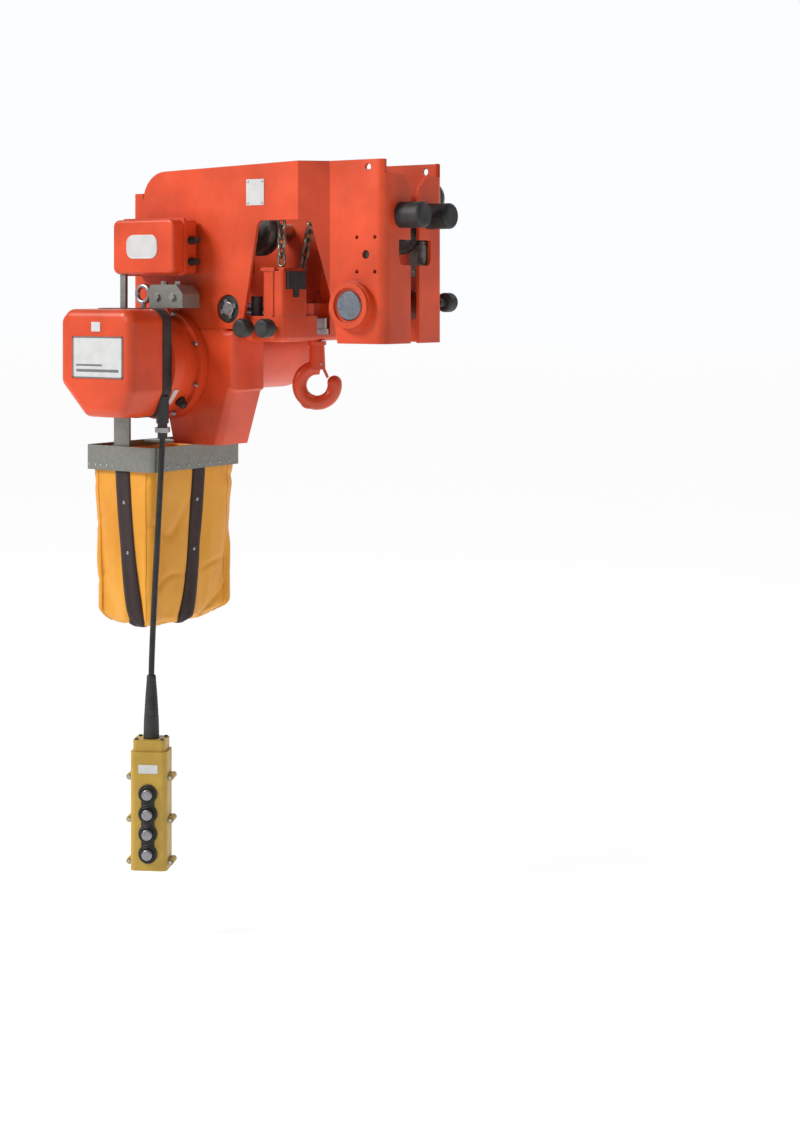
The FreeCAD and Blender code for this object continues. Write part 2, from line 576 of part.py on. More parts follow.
def hoist_body():
    front = COVER_Y[0]
    cover = cover_shape(0.0, COVER_Y)
    face_edges = [e for e in cover.Edges if abs(e.CenterOfMass.y - front) < 0.01]
    cover = cover.makeFillet(20.0, face_edges)
    hollow = cover_shape(-6.0, (front + 24, COVER_Y[1] + 1))
    cover = cover.cut(hollow)
    save("brake_cover", cover)
    gasket = cover_shape(2.0, (COVER_Y[1], GASKET_Y))
    gasket = gasket.cut(cover_shape(-14.0, (COVER_Y[1] - 1, GASKET_Y + 1)))
    save("cover_gasket", gasket)
    shell = ring_y(116.0, 86.0, MOTOR, (GASKET_Y, MOTOR_Y))
    band = ring_y(121.0, 110.0, MOTOR, (GASKET_Y, GASKET_Y + 34))
    end = ring_y(116.0, 15.0, MOTOR, (GASKET_Y, GASKET_Y + 8))
    flange = ring_y(128.0, 15.0, MOTOR, (MOTOR_Y, FLANGE_Y - 0.5))
    shell = shell.fuse([band, end, flange]).removeSplitter()
    save("motor_housing", shell)
    save("motor_stator", ring_y(85.0, 56.0, MOTOR, (GASKET_Y + 12, MOTOR_Y - 4)))
    axis = lift_axis()
    angle = math.atan2(axis[1] - MOTOR[1], axis[0] - MOTOR[0])
    rotor = rod_y(54.0, MOTOR, (GASKET_Y + 14, MOTOR_Y - 6))
    shaft = rod_y(SHAFT_R, MOTOR, (-340.0, -102.0))
    brake = rod_y(70.0, MOTOR, (-326.0, -316.0))
    save("brake_disc", brake.cut(rod_y(SHAFT_R, MOTOR, (-330, -310))))
    pinion = gear_y(GEAR_MODULE, MOTOR_PINION_TEETH, MOTOR, (-100.0, -78.0), 0,
                    angle + math.pi / MOTOR_PINION_TEETH)
    save("motor_rotor", rotor.fuse([shaft, pinion]).removeSplitter())
    save("lift_gear", gear_y(GEAR_MODULE, LIFT_TEETH, axis, (-99.0, -79.0), SHAFT_R, angle + math.pi))
    lift = rod_y(SHAFT_R, axis, (-140.0, 140.0))
    wheels = []
    for s in (-1, 1):
        y = s * CHAIN_Y
        wheel = rod_y(LIFT_WHEEL_R + 5, axis, (y - 15, y + 15))
        wheel = wheel.cut(ring_y(LIFT_WHEEL_R + 10, LIFT_WHEEL_R - GROOVE_DEPTH, axis,
                                 (y - GROOVE_HALF, y + GROOVE_HALF)))
        wheel = wheel.cut(rod_y(SHAFT_R, axis, (y - 20, y + 20)))
        wheels.append(wheel)
    save("lift_shaft", lift, *wheels)
    gear_cases(axis)


def gear_cases(axis):
    """The leg-shaped gear case in front and the drum-shaped housing behind it."""
    right = -106.0
    top = -138.0
    mx = MOTOR[0]
    leg = [(mx - 68, -188.0), (mx - 44, top), (-165.0, top), (-140.0, -165.0), (-133.0, LEFT_BOTTOM - 1),
           (right, LEFT_BOTTOM - 1), (right, -312.0), (right - 9, -318.0), (right - 47, -437.8),
           (-285.0, -437.8), (-300.0, -376.0), (mx - 44, -350.0), (mx - 68, -316.0)]
    case = prism_xz(leg, (FLANGE_Y, CASE_Y[1]))
    case = case.makeFillet(16.0, [e for e in case.Edges if abs(e.CenterOfMass.y - FLANGE_Y) < 0.01
                                  and e.CenterOfMass.x > right - 40])
    case = case.cut(box((mx - 120, right + 5), (FLANGE_Y - 5, CASE_Y[0]), (LEFT_BOTTOM - 0.5, top + 5)))
    hollow = [(mx - 58, -192.0), (mx - 38, -144.0), (-170.0, -144.0), (-148.0, -170.0),
              (right - 12, LEFT_BOTTOM - 11), (right - 14, -306.0), (right - 44, -338.0), (mx - 38, -338.0),
              (mx - 58, -310.0)]
    case = case.cut(prism_xz(hollow, (CASE_Y[0] + 9, CASE_Y[1] - 9)))
    case = case.cut([rod_y(SHAFT_R + 1.0, MOTOR, (FLANGE_Y - 5, CASE_Y[1] - 20)),
                     rod_y(SHAFT_R + FIT, axis, (CASE_Y[1] - 20, CASE_Y[1] + 5))])
    case = case.cut(rod_y(COLLAR_R + 0.5, LEFT_TIE, (CASE_Y[0] - 1, CASE_Y[0] + COLLAR_T + 0.3)))
    chain_x = axis[0] + LIFT_WHEEL_R
    case = case.cut(box((chain_x - 20, chain_x + 36), (-CHAIN_Y - 16, -CHAIN_Y + 16), (-186.0, top + 5)))
    save("gear_case", case)
    end = HOUSING_END
    housing = rod_y(HOUSING_R, axis, (CASE_Y[1], end))
    housing = housing.makeChamfer(10.0, [e for e in housing.Edges
                                         if len(e.Vertexes) == 1 and e.CenterOfMass.y > end - 1])
    housing = housing.cut(rod_y(HOUSING_R - 9, axis, (CASE_Y[1] + 9, end - 12)))
    housing = housing.cut(rod_y(SHAFT_R + FIT, axis, (CASE_Y[1] - 5, CASE_Y[1] + 20)))
    housing = housing.cut(box((chain_x - 20, chain_x + 50), (CHAIN_Y - 16, CHAIN_Y + 16), (-190.0, -100.0)))
    save("rear_housing", housing)


def suspension():
    """The cast bracket between the hoist body and the front frame, and the eye bolt."""
    grey = prism_xz([(-286.0, -128.0), (-286.0, -76.0), (-206.0, -76.0), (-188.0, -96.0), (-188.0, -128.0)],
                    (-248.0, -190.0))
    grey = round_edges(grey, 9.0, 1, lambda p: p.z > -125)
    bolts = []
    for bx in (-262.0, -216.0):
        bolts.append(rod(7.5, (bx, -248.0, -103.0), (bx, -254.0, -103.0)))
    for bx in (-266.0, -226.0):
        bolts.append(rod_z(8.0, bx, -219.0, (-76.0, -68.0)))
    arm = box((-280.0, -214.0), (-190.0, -WIDE_Y), (-124.0, -96.0))
    ring = Part.makeTorus(18.5, 5.5, V(-314.0, -236.0, -97.0), V(0, 1, 0))
    shank = rod(6.0, (-314.0, -236.0, -117.0), (-314.0, -236.0, COVER_Z[1] - 4.0))
    bar = box((-376.0, -360.0), (-246.0, -238.0), (-141.5, -52.2))
    save("eye_bolt", ring.fuse(shank).removeSplitter())
    save("support_bracket", grey.fuse(arm).removeSplitter(), bar)
    return bolts


# ---- chain bag ---------------------------------------------------------------------------------
def bag():
    z = BAG_FRAME_Z
    out = box(BAG_X, BAG_Y, z)
    out = round_edges(out, 16.0, 2)
    hole = box((BAG_X[0] + 3, BAG_X[1] - 3), (BAG_Y[0] + 3, BAG_Y[1] - 3), (z[0] - 1, z[1] + 1))
    hole = round_edges(hole, 13.0, 2)
    frame = out.cut(hole)
    posts = []
    for x, y in ((-335.0, -292.0), (-262.0, -11.0)):
        post = box((x - 19, x + 19), (y - 3, y + 3), (z[1] - 30, z[1] + 1))
        posts.append(post)
    bridge = box((BAG_X[0] + 1, BAG_X[1] - 1), (-110.0, -72.0), (z[1] - 5, z[1]))
    front_post = box((-350.0, -304.0), (-295.0, -289.0), (z[1], COVER_Z[0] - 2))
    frame = frame.fuse(posts + [bridge, front_post]).removeSplitter()
    save("bag_frame", frame)
    gap = 4.0
    x = (BAG_X[0] + 3 + gap, BAG_X[1] - 3 - gap)
    y = (BAG_Y[0] + 3 + gap, BAG_Y[1] - 3 - gap)
    low = BAG_BOTTOM
    outer = box(x, y, (low, BAG_TOP))
    outer = round_edges(outer, 20.0, 2)
    outer = round_edges(outer, 16.0, 1, lambda p: p.z < low + 1)
    inner = box((x[0] + SHEET, x[1] - SHEET), (y[0] + SHEET, y[1] - SHEET), (low + SHEET, BAG_TOP + 1))
    inner = round_edges(inner, 17.0, 2)
    inner = round_edges(inner, 13.0, 1, lambda p: p.z < low + SHEET + 1)
    cloth = outer.cut(inner)
    save("chain_bag", cloth)
    straps = []
    for centre in (-322.0,):
        band = box((centre - STRAP_W / 2, centre + STRAP_W / 2), (y[0] - 3.2, y[0] - 0.2), (low, z[0] - 2))
        back = box((centre - STRAP_W / 2, centre + STRAP_W / 2), (y[1] + 0.2, y[1] + 3.2), (low, z[0] - 2))
        under = box((centre - STRAP_W / 2, centre + STRAP_W / 2), (y[0] - 3.2, y[1] + 3.2), (low - 3.2, low - 0.2))
        straps.append(band.fuse([back, under]).removeSplitter())
    mid = (y[0] + y[1]) / 2 + 13
    side = box((x[1] + 0.2, x[1] + 3.2), (mid - STRAP_W / 2, mid + STRAP_W / 2), (low, z[0] - 2))
    other = box((x[0] - 3.2, x[0] - 0.2), (mid - STRAP_W / 2, mid + STRAP_W / 2), (low, z[0] - 2))
    under = box((x[0] - 3.2, x[1] + 3.2), (mid - STRAP_W / 2, mid + STRAP_W / 2), (low - 6.6, low - 3.4))
    low_side = box((x[1] + 0.2, x[1] + 3.2), (mid - STRAP_W / 2, mid + STRAP_W / 2), (low - 6.6, low))
    low_other = box((x[0] - 3.2, x[0] - 0.2), (mid - STRAP_W / 2, mid + STRAP_W / 2), (low - 6.6, low))
    straps.append(side.fuse([other, under, low_side, low_other]).removeSplitter())
    save("bag_straps", *straps)


# ---- control box ---------------------------------------------------------------------------------
def control_box():
    body = box(BOX_X, (BOX_Y[0] + 40, BOX_Y[1]), BOX_Z)
    body = round_edges(body, 8.0, 1)
    rim = box((BOX_X[0] - 4, BOX_X[1] + 4), (BOX_Y[0] + 34, BOX_Y[0] + 42), (BOX_Z[0] - 4, BOX_Z[1] + 4))
    rim = round_edges(rim, 12.0, 1)
    body = body.fuse(rim).removeSplitter()
    body = body.cut(box((BOX_X[0] + 5, BOX_X[1] - 5), (BOX_Y[0] + 30, BOX_Y[1] - 5),
                        (BOX_Z[0] + 5, BOX_Z[1] - 5)))
    save("control_box", body)
    lid = box(BOX_X, (BOX_Y[0], BOX_Y[0] + 34), BOX_Z)
    lid = round_edges(lid, 16.0, 1)
    lid = lid.makeFillet(7.0, [e for e in lid.Edges if abs(e.CenterOfMass.y - BOX_Y[0]) < 0.01])
    lid = lid.cut(box((BOX_X[0] + 12, BOX_X[1] - 12), (BOX_Y[0] + 6, BOX_Y[0] + 40),
                      (BOX_Z[0] + 12, BOX_Z[1] - 12)))
    save("control_lid", lid)
    feet = []
    for z in (BOX_Z[0] + 26, BOX_Z[1] - 26):
        for x in (BOX_X[0] + 30, BOX_X[1] - 30):
            feet.append(rod_y(9.0, (x, z), (BOX_Y[1], -WIDE_Y)))
    glands = []
    for z in (-24.0, 24.0):
        hexagon = rod(9.5, (BOX_X[1], -196.0, z), (BOX_X[1] + 9, -196.0, z))
        nose = rod(7.5, (BOX_X[1] + 9, -196.0, z), (BOX_X[1] + 24, -196.0, z))
        glands.append(hexagon.fuse(nose).removeSplitter())
    above = cover_shape(2.2, (COVER_Y[0], GASKET_Y + 0.5))
    gland_foot = CORD_POINTS[0][2] + 34
    collar = rod_z(14.0, *GLAND, (gland_foot, gland_foot + 60)).cut(above)
    nose = rod_z(11.0, *GLAND, (CORD_POINTS[0][2], gland_foot + 1))
    glands.append(collar.fuse(nose).removeSplitter())
    save("cable_glands", *glands)
    return feet


# ---- pendant ------------------------------------------------------------------------------------
def pendant_turned(shape):
    return turned(shape, PENDANT_TURN, CORD_X, CORD_Y)


def pendant_shells():
    """The two hollow shells, split behind the middle, with a narrower block at the top."""
    cx, cy = CORD_X, CORD_Y
    z = PENDANT_Z
    shoulder = z[1] - NECK_BLOCK[2]
    w = PENDANT_W / 2
    body = box((cx - w, cx + w), (cy - PENDANT_D / 2, cy + PENDANT_D / 2), (z[0], shoulder))
    body = round_edges(body, 12.0, 2)
    block = box((cx - NECK_BLOCK[0] / 2, cx + NECK_BLOCK[0] / 2),
                (cy - NECK_BLOCK[1] / 2, cy + NECK_BLOCK[1] / 2), (shoulder - 1, z[1]))
    block = round_edges(block, 9.0, 2)
    whole = body.fuse([block] + pendant_lugs()).removeSplitter()
    wall = 4.0
    room = box((cx - w + wall, cx + w - wall), (cy - PENDANT_D / 2 + wall, cy + PENDANT_D / 2 - wall),
               (z[0] + wall, shoulder - wall))
    neck = rod_z(17.5, cx, cy, (shoulder - wall - 1, z[1] + 1))
    whole = whole.cut([room, neck])
    split = cy + 4.0
    front = whole.common(box((cx - 90, cx + 90), (cy - 90, split), (z[0] - 5, z[1] + 5)))
    back = whole.common(box((cx - 90, cx + 90), (split, cy + 90), (z[0] - 5, z[1] + 5)))
    return front, back


def pendant_lugs():
    """The screw lugs down both sides."""
    lugs = []
    for z in LUG_Z:
        for side in (-1, 1):
            x = CORD_X + side * (PENDANT_W / 2 + LUG_OUT)
            lugs.append(rod(7.0, (x, CORD_Y - 14, z), (x, CORD_Y + 18, z)))
    return lugs


def pendant():
    """The hand control: two shells, four plunger buttons, a rubber boot strip and screws."""
    cx, cy = CORD_X, CORD_Y
    z = PENDANT_Z
    front, back = pendant_shells()
    face = cy - PENDANT_D / 2
    stem_r = BUTTON_R - 3.0
    strip = box((cx - 15, cx + 15), (face - 4, face), (BUTTON_Z[-1], BUTTON_Z[0]))
    boots = strip.fuse([rod(BOOT_LOBE_R, (cx, face - 4, bz), (cx, face, bz)) for bz in BUTTON_Z])
    stems = []
    for bz in BUTTON_Z:
        hole = rod(stem_r + FIT, (cx, face - 6, bz), (cx, face + 10, bz))
        front = front.cut(hole)
        boots = boots.cut(hole)
        stem = rod(stem_r, (cx, face - 10, bz), (cx, face + 12, bz))
        cap = rod(BUTTON_R, (cx, face - 15, bz), (cx, face - 8.5, bz))
        rim = [e for e in cap.Edges if len(e.Vertexes) == 1 and e.CenterOfMass.y < face - 14]
        stems.append(stem.fuse(cap.makeFillet(4.0, rim)).removeSplitter())
    screws = []
    for lug_z in LUG_Z:
        for side in (-1, 1):
            x = cx + side * (PENDANT_W / 2 + LUG_OUT)
            screws.append(rod(4.0, (x, cy - 18, lug_z), (x, cy - 14, lug_z)))
    save("pendant_front", pendant_turned(front))
    save("pendant_back", pendant_turned(back))
    save("button_boots", pendant_turned(boots.removeSplitter()))
    for name, stem in zip(("up", "down", "left", "right"), stems):
        save("button_" + name, pendant_turned(stem))
    block = box((cx - 20, cx + 20), (cy - 8, cy + 20), (z[0] + 20, z[1] - 60))
    save("contact_block", pendant_turned(block))
    cone = Part.makeCone(17.4, 9.5, BOOT_Z[1] - BOOT_Z[0] + 4, V(cx, cy, BOOT_Z[0] - 4), V(0, 0, 1))
    save("cable_boot", cone)
    return [pendant_turned(s) for s in screws]


def cord():
    """The pendant's cord: straight runs joined by arcs, hanging under the pendant's weight."""
    pts = [V(*p) for p in CORD_POINTS]
    edges = []
    at = pts[0]
    for i in range(1, len(pts) - 1):
        back = pts[i - 1] - pts[i]
        ahead = pts[i + 1] - pts[i]
        turn = math.pi - back.getAngle(ahead)
        reach = 0.45 * min(back.Length, ahead.Length)
        radius = reach / math.tan(turn / 2)
        print("cord point", i, "turn", round(math.degrees(turn), 2), "radius", round(radius))
        back.normalize()
        ahead.normalize()
        start = pts[i] + back * reach
        end = pts[i] + ahead * reach
        middle_way = back + ahead
        middle_way.normalize()
        middle = pts[i] + middle_way * (radius / math.cos(turn / 2) - radius)
        edges.append(Part.LineSegment(at, start).toShape())
        edges.append(Part.Arc(start, middle, end).toShape())
        at = end
    edges.append(Part.LineSegment(at, pts[-1]).toShape())
    path = Part.Wire(edges)
    first = pts[1] - pts[0]
    ring = Part.Wire(Part.makeCircle(CORD_D / 2, pts[0], first))
    tube = path.makePipeShell([ring], True, False)
    expected = math.pi * CORD_D ** 2 / 4 * path.Length
    print("cord length", round(path.Length, 1), "volume over expected", round(tube.Volume / expected, 4))
    save("pendant_cord", tube)


def plates():
    """Rating plates and labels, all blank."""
    front = COVER_Y[0]
    cover_plate = box((MOTOR[0] - 65, MOTOR[0] + 84), (front - 1.5, front), (-282.0, -190.0))
    sticker = box((MOTOR[0] - 9, MOTOR[0] + 17), (front - 1.0, front), (-179.0, -158.0))
    frame_plate = box((-72.0, -22.0), (-WIDE_Y - 1.5, -WIDE_Y), (100.0, 158.0))
    save("rating_plates", cover_plate, sticker, frame_plate)


def tow_stub():
    """The rubber-capped stub behind the rear frame, for the cable trolley's tow arm."""
    stem = rod_y(10.0, (252.0, -116.0), (NARROW_Y, NARROW_Y + 22))
    cap = rod_y(22.0, (252.0, -116.0), (NARROW_Y + 22, NARROW_Y + 56))
    cap = cap.makeFillet(8.0, [e for e in cap.Edges if len(e.Vertexes) == 1])
    save("tow_stub", stem.fuse(cap).removeSplitter())


trolley()
chains()
hook_block()
hook_and_latch()
hoist_body()
bag()
cord()
plates()
tow_stub()
save("bolts_and_screws", *suspension(), *control_box(), *pendant())
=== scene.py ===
"""Looks of the low-headroom chain hoist: camera, cord, chain, bag, pendant and materials."""
import json
import math

import bmesh
import bpy
from mathutils import Matrix, Vector, noise

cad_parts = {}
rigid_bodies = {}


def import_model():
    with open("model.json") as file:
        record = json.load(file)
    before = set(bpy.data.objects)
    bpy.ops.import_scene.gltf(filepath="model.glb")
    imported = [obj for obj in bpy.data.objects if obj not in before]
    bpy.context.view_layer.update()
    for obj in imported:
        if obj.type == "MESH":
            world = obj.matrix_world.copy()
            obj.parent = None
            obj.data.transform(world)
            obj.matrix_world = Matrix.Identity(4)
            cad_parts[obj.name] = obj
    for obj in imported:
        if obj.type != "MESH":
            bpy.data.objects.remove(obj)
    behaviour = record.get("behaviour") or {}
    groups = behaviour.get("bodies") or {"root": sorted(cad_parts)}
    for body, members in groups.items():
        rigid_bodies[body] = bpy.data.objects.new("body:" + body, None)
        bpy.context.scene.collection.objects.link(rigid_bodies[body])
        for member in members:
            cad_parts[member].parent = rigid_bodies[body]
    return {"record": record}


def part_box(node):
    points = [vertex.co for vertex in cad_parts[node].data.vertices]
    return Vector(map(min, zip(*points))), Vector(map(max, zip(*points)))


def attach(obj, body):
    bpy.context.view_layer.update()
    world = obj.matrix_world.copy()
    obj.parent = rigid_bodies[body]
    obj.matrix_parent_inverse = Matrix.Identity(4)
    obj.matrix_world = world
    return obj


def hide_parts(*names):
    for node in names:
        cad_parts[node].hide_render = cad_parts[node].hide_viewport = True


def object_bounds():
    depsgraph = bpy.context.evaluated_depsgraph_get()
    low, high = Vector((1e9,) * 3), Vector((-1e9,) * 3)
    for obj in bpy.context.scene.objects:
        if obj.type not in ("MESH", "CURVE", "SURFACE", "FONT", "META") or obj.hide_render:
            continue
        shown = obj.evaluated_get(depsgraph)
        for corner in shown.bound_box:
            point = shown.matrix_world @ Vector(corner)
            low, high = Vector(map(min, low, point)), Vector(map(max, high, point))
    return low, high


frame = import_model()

cad_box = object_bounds()
scene = bpy.context.scene

# ---- camera ---------------------------------------------------------------------------
CAMERA_AZIMUTH = 34.57      # degrees round from the hoist's front, towards +X
CAMERA_DISTANCE = 4.5
CAMERA_AIM = (0.1885, -0.0948)   # sideways in the picture, and height, in metres
CAMERA_LENS = 63.46
CAMERA_SHIFT = -0.239       # the camera looks level and the picture is shifted down


def make_camera():
    data = bpy.data.cameras.new("camera")
    cam = bpy.data.objects.new("camera", data)
    scene.collection.objects.link(cam)
    a = math.radians(CAMERA_AZIMUTH)
    back = Vector((math.sin(a), -math.cos(a), 0))
    right = Vector((math.cos(a), math.sin(a), 0))
    cam.location = right * CAMERA_AIM[0] + Vector((0, 0, CAMERA_AIM[1])) + back * CAMERA_DISTANCE
    cam.rotation_mode = "QUATERNION"
    cam.rotation_quaternion = (-back).to_track_quat("-Z", "Y")
    data.lens = CAMERA_LENS
    data.sensor_width = 36.0
    data.shift_y = CAMERA_SHIFT
    data.clip_end = 100.0
    scene.camera = cam


make_camera()


# ---- node helpers ---------------------------------------------------------------------
class Shader:
    """One procedural material, built node by node in the object's own coordinates."""

    def __init__(self, name, color, roughness, metallic=0.0):
        self.mat = bpy.data.materials.new(name)
        self.mat.use_nodes = True
        self.tree = self.mat.node_tree
        self.bsdf = self.tree.nodes["Principled BSDF"]
        self.bsdf.inputs["Base Color"].default_value = (*color, 1)
        self.bsdf.inputs["Roughness"].default_value = roughness
        self.bsdf.inputs["Metallic"].default_value = metallic
        self.coords = self.node("ShaderNodeTexCoord").outputs["Object"]

    def node(self, kind, **values):
        made = self.tree.nodes.new(kind)
        for key, value in values.items():
            setattr(made, key, value)
        return made

    def link(self, a, b):
        self.tree.links.new(a, b)

    def stretched(self, scale):
        mapping = self.node("ShaderNodeMapping")
        mapping.inputs["Scale"].default_value = scale
        self.link(self.coords, mapping.inputs["Vector"])
        return mapping.outputs["Vector"]

    def noise(self, scale, detail=4.0, rough=0.55, vector=None):
        made = self.node("ShaderNodeTexNoise")
        made.inputs["Scale"].default_value = scale
        made.inputs["Detail"].default_value = detail
        made.inputs["Roughness"].default_value = rough
        self.link(vector or self.coords, made.inputs["Vector"])
        return made.outputs["Fac"]

    def cell_distance(self, scale):
        made = self.node("ShaderNodeTexVoronoi")
        made.inputs["Scale"].default_value = scale
        self.link(self.coords, made.inputs["Vector"])
        return made.outputs["Distance"]

    def wave(self, scale, direction):
        made = self.node("ShaderNodeTexWave", bands_direction=direction)
        made.inputs["Scale"].default_value = scale
        self.link(self.coords, made.inputs["Vector"])
        return made.outputs["Fac"]

    def ramp(self, fac, low, high):
        """Black below low, white above high."""
        made = self.node("ShaderNodeValToRGB")
        ends = made.color_ramp.elements
        ends[0].position, ends[1].position = low, high
        self.link(fac, made.inputs["Fac"])
        return made.outputs["Color"]

    def mix(self, fac, a, b):
        """Color a where fac is 0 and b where it is 1; a may come from another node."""
        made = self.node("ShaderNodeMix", data_type="RGBA")
        self.link(fac, made.inputs["Factor"])
        for value, name in ((a, "A"), (b, "B")):
            socket = [s for s in made.inputs if s.name == name and s.type == "RGBA"][0]
            if hasattr(value, "links"):
                self.link(value, socket)
            else:
                socket.default_value = (*value, 1)
        return [s for s in made.outputs if s.type == "RGBA"][0]

    def math(self, operation, a, b):
        made = self.node("ShaderNodeMath", operation=operation)
        for value, socket in ((a, made.inputs[0]), (b, made.inputs[1])):
            if hasattr(value, "links"):
                self.link(value, socket)
            else:
                socket.default_value = value
        return made.outputs["Value"]

    def worn_edges(self, radius):
        """1 near sharp edges and 0 on flat faces, from how far rounding turns the normal."""
        bevel = self.node("ShaderNodeBevel", samples=6)
        bevel.inputs["Radius"].default_value = radius
        plain = self.node("ShaderNodeNewGeometry")
        dot = self.node("ShaderNodeVectorMath", operation="DOT_PRODUCT")
        self.link(bevel.outputs["Normal"], dot.inputs[0])
        self.link(plain.outputs["Normal"], dot.inputs[1])
        return self.math("SUBTRACT", 1.0, dot.outputs["Value"])

    def color(self, socket):
        self.link(socket, self.bsdf.inputs["Base Color"])

    def roughness(self, fac, low, high):
        made = self.node("ShaderNodeMapRange")
        made.inputs["To Min"].default_value = low
        made.inputs["To Max"].default_value = high
        self.link(fac, made.inputs["Value"])
        self.link(made.outputs["Result"], self.bsdf.inputs["Roughness"])

    def relief(self, *layers, soft_edge=0.0):
        """Bump layers of (height, strength, depth in metres), over softly rounded edges."""
        normal = None
        if soft_edge:
            bevel = self.node("ShaderNodeBevel", samples=4)
            bevel.inputs["Radius"].default_value = soft_edge
            normal = bevel.outputs["Normal"]
        for height, strength, depth in layers:
            bump = self.node("ShaderNodeBump")
            bump.inputs["Strength"].default_value = strength
            bump.inputs["Distance"].default_value = depth
            self.link(height, bump.inputs["Height"])
            if normal:
                self.link(normal, bump.inputs["Normal"])
            normal = bump.outputs["Normal"]
        self.link(normal, self.bsdf.inputs["Normal"])


# ---- materials --------------------------------------------------------------------------
def enamel(name, color, roughness=0.36, worn=0.55):
    """Sprayed machine enamel: orange peel, faint dust, and rubbed edges."""
    s = Shader(name, color, roughness)
    dark = tuple(c * 0.74 for c in color)
    light = tuple(min(1.0, c * 1.1 + 0.012) for c in color)
    clouds = s.ramp(s.noise(7.0, 5.0), 0.32, 0.72)
    tone = s.mix(clouds, dark, light)
    dust = s.ramp(s.noise(34.0, 8.0, 0.7), 0.58, 0.8)
    tone = s.mix(s.math("MULTIPLY", dust, 0.16), tone, (0.42, 0.2, 0.13))
    rub = s.math("MULTIPLY", s.worn_edges(0.0016), s.ramp(s.noise(70.0, 6.0, 0.7), 0.45, 0.62))
    tone = s.mix(s.math("MINIMUM", s.math("MULTIPLY", rub, worn * 6), 0.8), tone, (0.34, 0.17, 0.12))
    s.color(tone)
    s.roughness(s.noise(22.0, 5.0), roughness - 0.08, roughness + 0.14)
    s.bsdf.inputs["Coat Weight"].default_value = 0.12
    s.bsdf.inputs["Coat Roughness"].default_value = 0.22
    s.relief((s.noise(420.0, 2.0), 0.10, 0.0006), (s.noise(55.0, 2.0), 0.05, 0.002), soft_edge=0.0016)
    return s.mat


def turned_steel(name, color=(0.55, 0.55, 0.56), roughness=0.3):
    s = Shader(name, color, roughness, 1.0)
    lines = s.noise(160.0, 3.0, 0.6, s.stretched((1, 9, 1)))
    s.color(s.mix(s.ramp(lines, 0.3, 0.75), tuple(c * 0.62 for c in color), color))
    s.roughness(s.noise(40.0, 6.0), roughness - 0.08, roughness + 0.2)
    s.relief((lines, 0.25, 0.0004), soft_edge=0.0008)
    return s.mat


def rolled_iron(name):
    s = Shader(name, (0.2, 0.2, 0.2), 0.5, 0.8)
    blot = s.ramp(s.noise(60.0, 8.0, 0.65), 0.35, 0.7)
    s.color(s.mix(blot, (0.1, 0.095, 0.09), (0.3, 0.29, 0.28)))
    s.roughness(s.noise(35.0, 5.0), 0.35, 0.65)
    s.relief((s.noise(300.0, 4.0), 0.25, 0.0006), soft_edge=0.001)
    return s.mat


def zinc_sheet(name):
    """Galvanised sheet: faint spangle and a dull sheen."""
    s = Shader(name, (0.3, 0.3, 0.27), 0.42, 0.6)
    spangle = s.ramp(s.cell_distance(110.0), 0.0, 1.0)
    s.color(s.mix(spangle, (0.3, 0.3, 0.265), (0.24, 0.245, 0.225)))
    s.roughness(s.noise(26.0, 5.0), 0.32, 0.58)
    s.relief((s.noise(90.0, 3.0), 0.12, 0.001), soft_edge=0.0008)
    return s.mat


def rubber(name, shade=0.022, roughness=0.55):
    s = Shader(name, (shade, shade, shade), roughness)
    bloom = s.ramp(s.noise(28.0, 7.0, 0.65), 0.4, 0.75)
    s.color(s.mix(bloom, (shade * 0.7,) * 3, (shade * 2.2, shade * 2.2, shade * 2.1)))
    s.roughness(s.noise(50.0, 4.0), roughness - 0.12, roughness + 0.15)
    s.relief((s.noise(600.0, 2.0), 0.2, 0.0004), soft_edge=0.001)
    return s.mat


def chain_steel(name):
    s = Shader(name, (0.5, 0.46, 0.38), 0.34, 1.0)
    grime = s.ramp(s.noise(90.0, 6.0, 0.7), 0.42, 0.7)
    s.color(s.mix(grime, (0.4, 0.36, 0.29), (0.12, 0.1, 0.075)))
    s.roughness(s.noise(80.0, 4.0), 0.24, 0.5)
    s.relief((s.noise(500.0, 3.0), 0.15, 0.0003))
    return s.mat


def coated_cloth(name):
    """The bag's coated fabric: a fine plain weave under a yellow coating."""
    s = Shader(name, (0.9, 0.4, 0.02), 0.46)
    shade = s.ramp(s.noise(6.0, 6.0, 0.6), 0.3, 0.75)
    tone = s.mix(shade, (0.8, 0.31, 0.012), (0.94, 0.43, 0.028))
    soil = s.ramp(s.noise(24.0, 8.0, 0.7), 0.6, 0.85)
    tone = s.mix(s.math("MULTIPLY", soil, 0.3), tone, (0.45, 0.2, 0.03))
    s.color(tone)
    warp = s.wave(330.0, "DIAGONAL")
    weft = s.wave(330.0, "Z")
    weave = s.math("MULTIPLY", warp, weft)
    s.roughness(s.noise(30.0, 4.0), 0.36, 0.56)
    s.bsdf.inputs["Sheen Weight"].default_value = 0.15
    s.relief((weave, 0.22, 0.0005), (s.noise(14.0, 4.0, 0.6), 0.25, 0.006))
    return s.mat


def webbing(name):
    s = Shader(name, (0.06, 0.028, 0.03), 0.72)
    ribs = s.wave(420.0, "Z")
    cross = s.wave(210.0, "DIAGONAL")
    s.color(s.mix(ribs, (0.018, 0.007, 0.006), (0.05, 0.019, 0.015)))
    s.bsdf.inputs["Sheen Weight"].default_value = 0.1
    s.relief((s.math("MULTIPLY", ribs, cross), 0.7, 0.0008))
    return s.mat


